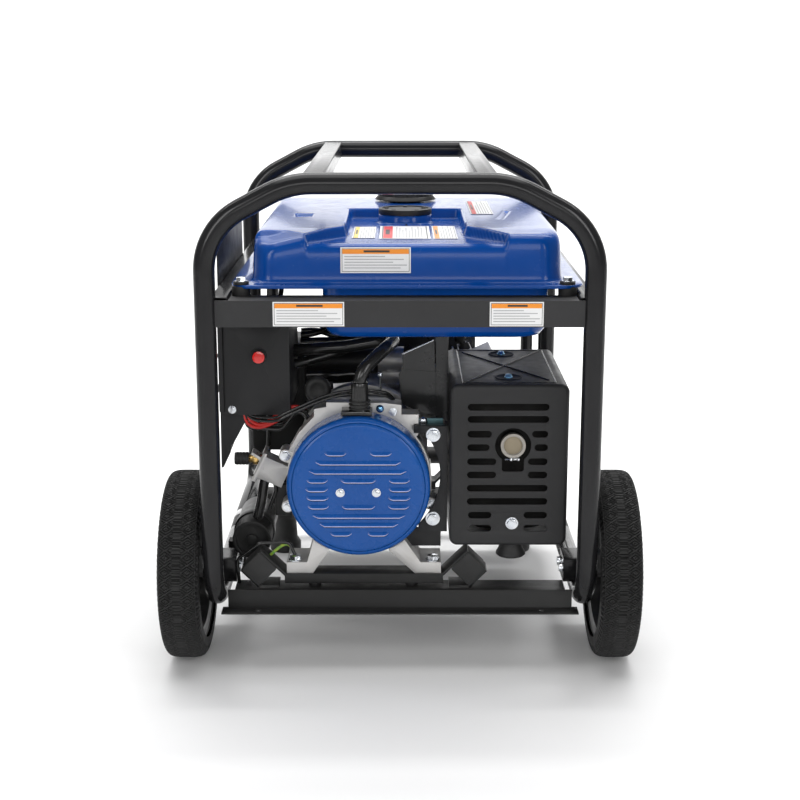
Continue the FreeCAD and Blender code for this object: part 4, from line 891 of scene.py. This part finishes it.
def red_loops():
    """Three red wires that hang in a loop beside the bell."""
    for i, (dx, drop) in enumerate(((0, 0), (6, 5), (-5, -4))):
        route = [(-228 + dx, 116, 378), (-225 + dx, 115, 364 + drop), (-218 + dx, 115, 353 + drop),
                 (-204 + dx, 115, 349 + drop), (-190, 116, 355 + drop), (-172, 120, 366 + drop),
                 (-158, 124, 378), (-140, 132, 372)]
        hose(f"red_loop_{i}", route, 2.6, "lead_red")


def green_lead():
    """The earth wire's bend at the bell's foot."""
    route = [(-190, 58, 168), (-184, 56, 174), (-175, 55, 182), (-166, 55, 186), (-159, 57, 180),
             (-155, 60, 168)]
    hose("green_lead", route, 2.2, "lead_green")


def bell_fixings():
    """Bracket, screws and a long stud at the bell's top."""
    slab("teal_bracket", (26, 84, 355), (63, 88, 368), "zinc_teal")
    screw("bracket_screw", 34, 84, 364, 5.0)
    screw("blue_screw", -29, 78, 384, 4.6, "zinc_bluish")
    profile = [(0, 2.1), (29, 2.1), (29.5, 3.6), (34, 3.6), (35, 2.4), (35.5, 0.01)]
    turned("long_stud", profile, (-29, NEAR + 100, 398), "Z", 20, "zinc_plate", "frame")


def shroud_plates():
    """Black sheets behind the bell and a grommet, with painted light: a bright zinc rod as a painted
    highlight along the upper plate's top edge, and the lowest black sheet as painted shade over the engine's
    shaded cast fins.
    """
    plate = [(5, 426), (53, 423), (51, 471), (3, 450)]
    flat_plate("shroud_plate", plate, 150, 156, "shroud_black")
    # Painted highlight: bright zinc rod standing in for the light along the plate's top edge.
    hose("shroud_edge_painted_highlight", [(4, 149, 450), (28, 149, 461), (50, 149, 471)], 1.0, "zinc_plate")
    side = [(54, 350), (72, 346), (72, 476), (53, 476)]
    flat_plate("shroud_side", side, 158, 163, "shroud_black")
    # Painted shade: black sheet laid over the engine's cast fins where they lie in shade.
    lower = [(2, 372), (26, 360), (56, 352), (56, 430), (5, 430), (-2, 416)]
    flat_plate("fins_painted_shade", lower, 160, 165, "shroud_black")
    profile = [(0, 20), (-6, 19.6), (-10, 17), (-11, 12), (-8, 10), (-8, 0.01)]
    turned("bell_grommet", profile, (-122, NEAR + 134, 400), "Y", 40, "soft_rubber", "frame")


def looms():
    """A wide loom and the cables behind it, between panel and engine."""
    route = [(-160, 200, 424), (-150, 200, 426), (-121, 200, 434), (-93, 200, 443), (-69, 200, 455),
             (-43, 206, 465), (-20, 230, 470)]
    hose("loom_wide", route, 7.5, "cable_black")
    for i, (y, low, high, radius) in enumerate(((300, 437, 441, 7), (318, 452, 446, 5), (308, 447, 470, 5),
                                                (330, 466, 440, 6), (352, 372, 374, 14))):
        route = [(-158, y, low), (-130, y + 3, low + 2), (-105, y - 2, high - 2), (-80, y + 2, high + 1),
                 (-52, y, high)]
        hose(f"loom_back_{i}", route, radius, "cable_black")


# ---- control panel and gas side -----------------------------------------------------------
def panel_edges():
    """The panel's lower blade and its folded edge."""
    blade = [(-265.7, 284.8), (-262.7, 284.8), (-251.5, 308.4), (-250.6, 318.8), (-246.5, 322.5),
             (-225, 362), (-225, 372), (-265.2, 372)]
    flat_plate("panel_blade", blade, 113, 116, "box_black")
    slab("panel_edge", (-264.4, 97, 374), (-257.5, 100, 516), "box_black")


def button_bezel():
    """Moulded ring round the red button, on the control box's front."""
    low, high = box_mm("red_button")
    middle = (low + high) / 2
    front = box_mm("control_box")[0].y
    profile = [(0.5, 9.2), (-0.4, 9.4), (-0.6, 10.4), (0, 11.6), (3.2, 11.8)]
    turned("button_bezel", profile, (middle.x, front, middle.z), "Y", 40, "moulded_black", "frame")


def dust_cap_ribs():
    """Grip rings round the gas inlet's dust cap."""
    low, high = box_mm("dust_cap")
    middle = (low + high) / 2
    profile = [(0.2, 8.0), (0, 8.8)]
    for i in range(4):
        start = 2.0 + 4.6 * i
        profile += [(start, 8.9), (start + 0.5, 9.7), (start + 3.2, 9.7), (start + 3.8, 8.9)]
    profile.append((high.x - low.x - 0.3, 8.9))
    turned("dust_cap_ribs", profile, (low.x, middle.y, middle.z), "X", 36, "moulded_black", "gas_cap")


def gas_hoses():
    """The cap's tether, two hoses below the regulator and their bracket."""
    tether = [(-221, 92, 295), (-223, 90, 286), (-220, 90, 279), (-214, 92, 280), (-210, 96, 288),
              (-208, 100, 296)]
    hose("tether", tether, 1.2, "soft_rubber")
    wide = [(-200, 112, 272), (-204, 112, 258), (-206, 112, 240), (-210, 114, 222), (-214, 116, 206)]
    hose("gas_hose", wide, 7.5, "cable_black")
    small = [(-192, 120, 268), (-184, 122, 252), (-190, 122, 236), (-198, 124, 214)]
    hose("gas_hose_small", small, 3, "cable_black")
    slab("hose_bracket", (-188, 124, 206), (-162, 134, 256), "moulded_black", 0.002)


def rail_white_band():
    """A short white band round the left rail."""
    turned("rail_white_band", [(0, 15.2), (0.6, 15.9), (25, 15.9), (25.6, 15.2)], (-268, NEAR + 388, 109), "Y",
           48, "label_white", "frame")


# ---- muffler guard ------------------------------------------------------------------------
def guard_top():
    """Pressed cross and border, and dished screws, on the guard's top. The dish round each screw is
    near-black painted shade.
    """
    top = box_mm("muffler_guard")[1].z
    steps = 4
    for name, start, end in (("guard_rib_a", (95, 66), (220, 290)), ("guard_rib_b", (98, 276), (215, 80))):
        route = []
        for i in range(steps + 1):
            x, y = (a + (b - a) * i / steps for a, b in zip(start, end))
            route.append((x, y, top - 0.5))
        hose(name, route, 1.9, "frame_black")
    border = [(90, 62), (224, 62), (224, 292), (90, 292), (90, 62)]
    for i, (start, end) in enumerate(zip(border, border[1:])):
        middle = ((start[0] + end[0]) / 2, (start[1] + end[1]) / 2)
        route = [(x, y, top - 0.4) for x, y in (start, middle, end)]
        hose(f"guard_border_{i}", route, 1.2, "frame_black")
    dish = [(0, 20), (1.0, 19.2), (1.2, 18.2), (0.4, 17), (0.25, 8), (0.25, 0.01)]
    head = [(0.2, 6), (1.6, 6), (1.8, 4.6), (4.4, 4.4), (5, 3.4), (5, 0.01)]
    for i, y in enumerate((98, 262)):
        place = (158, NEAR + y, top)
        # Painted shade: the dish round each screw is near-black.
        turned(f"guard_dish_{i}", dish, place, "Z", 48, "painted_shade_dark", "frame")
        turned(f"guard_screw_{i}", head, place, "Z", 24, "zinc_bluish", "frame")


def outlet_details():
    """Woven screen in the outlet and the clamp's screw under it."""
    low, high = box_mm("exhaust_outlet")
    x, z = (low.x + high.x) / 2, (low.z + high.z) / 2
    disc = [(3.6, 13.2), (3.4, 12.0), (3.0, 6), (2.9, 0.01)]
    turned("spark_disc", disc, (x, low.y, z), "Y", 40, "spark_screen", "frame")
    clamp = [(0, 0.01), (0, 1.7), (7, 1.7), (7, 3.2), (11, 3.2), (11, 1.7), (18, 1.7), (18, 2.9), (21, 2.9),
             (21, 0.01)]
    place = (x - 11.5, low.y + 1, z - 20)
    turned("clamp_screw", clamp, place, "X", 20, "zinc_plate", "frame")


def guard_buffer():
    """Rubber buffer under the guard."""
    profile = [(0, 18), (-9, 17), (-14, 18.5), (-19, 21.5), (-21.5, 22), (-23.5, 20), (-24, 0.01)]
    turned("guard_buffer", profile, (164, NEAR + 78, 185), "Z", 48, "soft_rubber", "frame")


# ---- build --------------------------------------------------------------------------------
MATS = {maker.__name__: maker() for maker in MAKERS}
add_camera()
add_stage()
add_lights()
dress_cad()
tyre("tyre_left", "left_wheel", "left_tyre")
tyre("tyre_right", "right_wheel", "right_tyre")
tank_top()
gauge_boss()
tank_pan()
alternator_cover()
labels()
boot_ribs()
bell_cables()
red_loops()
green_lead()
bell_fixings()
shroud_plates()
looms()
panel_edges()
button_bezel()
dust_cap_ribs()
gas_hoses()
rail_white_band()
guard_top()
outlet_details()
guard_buffer()
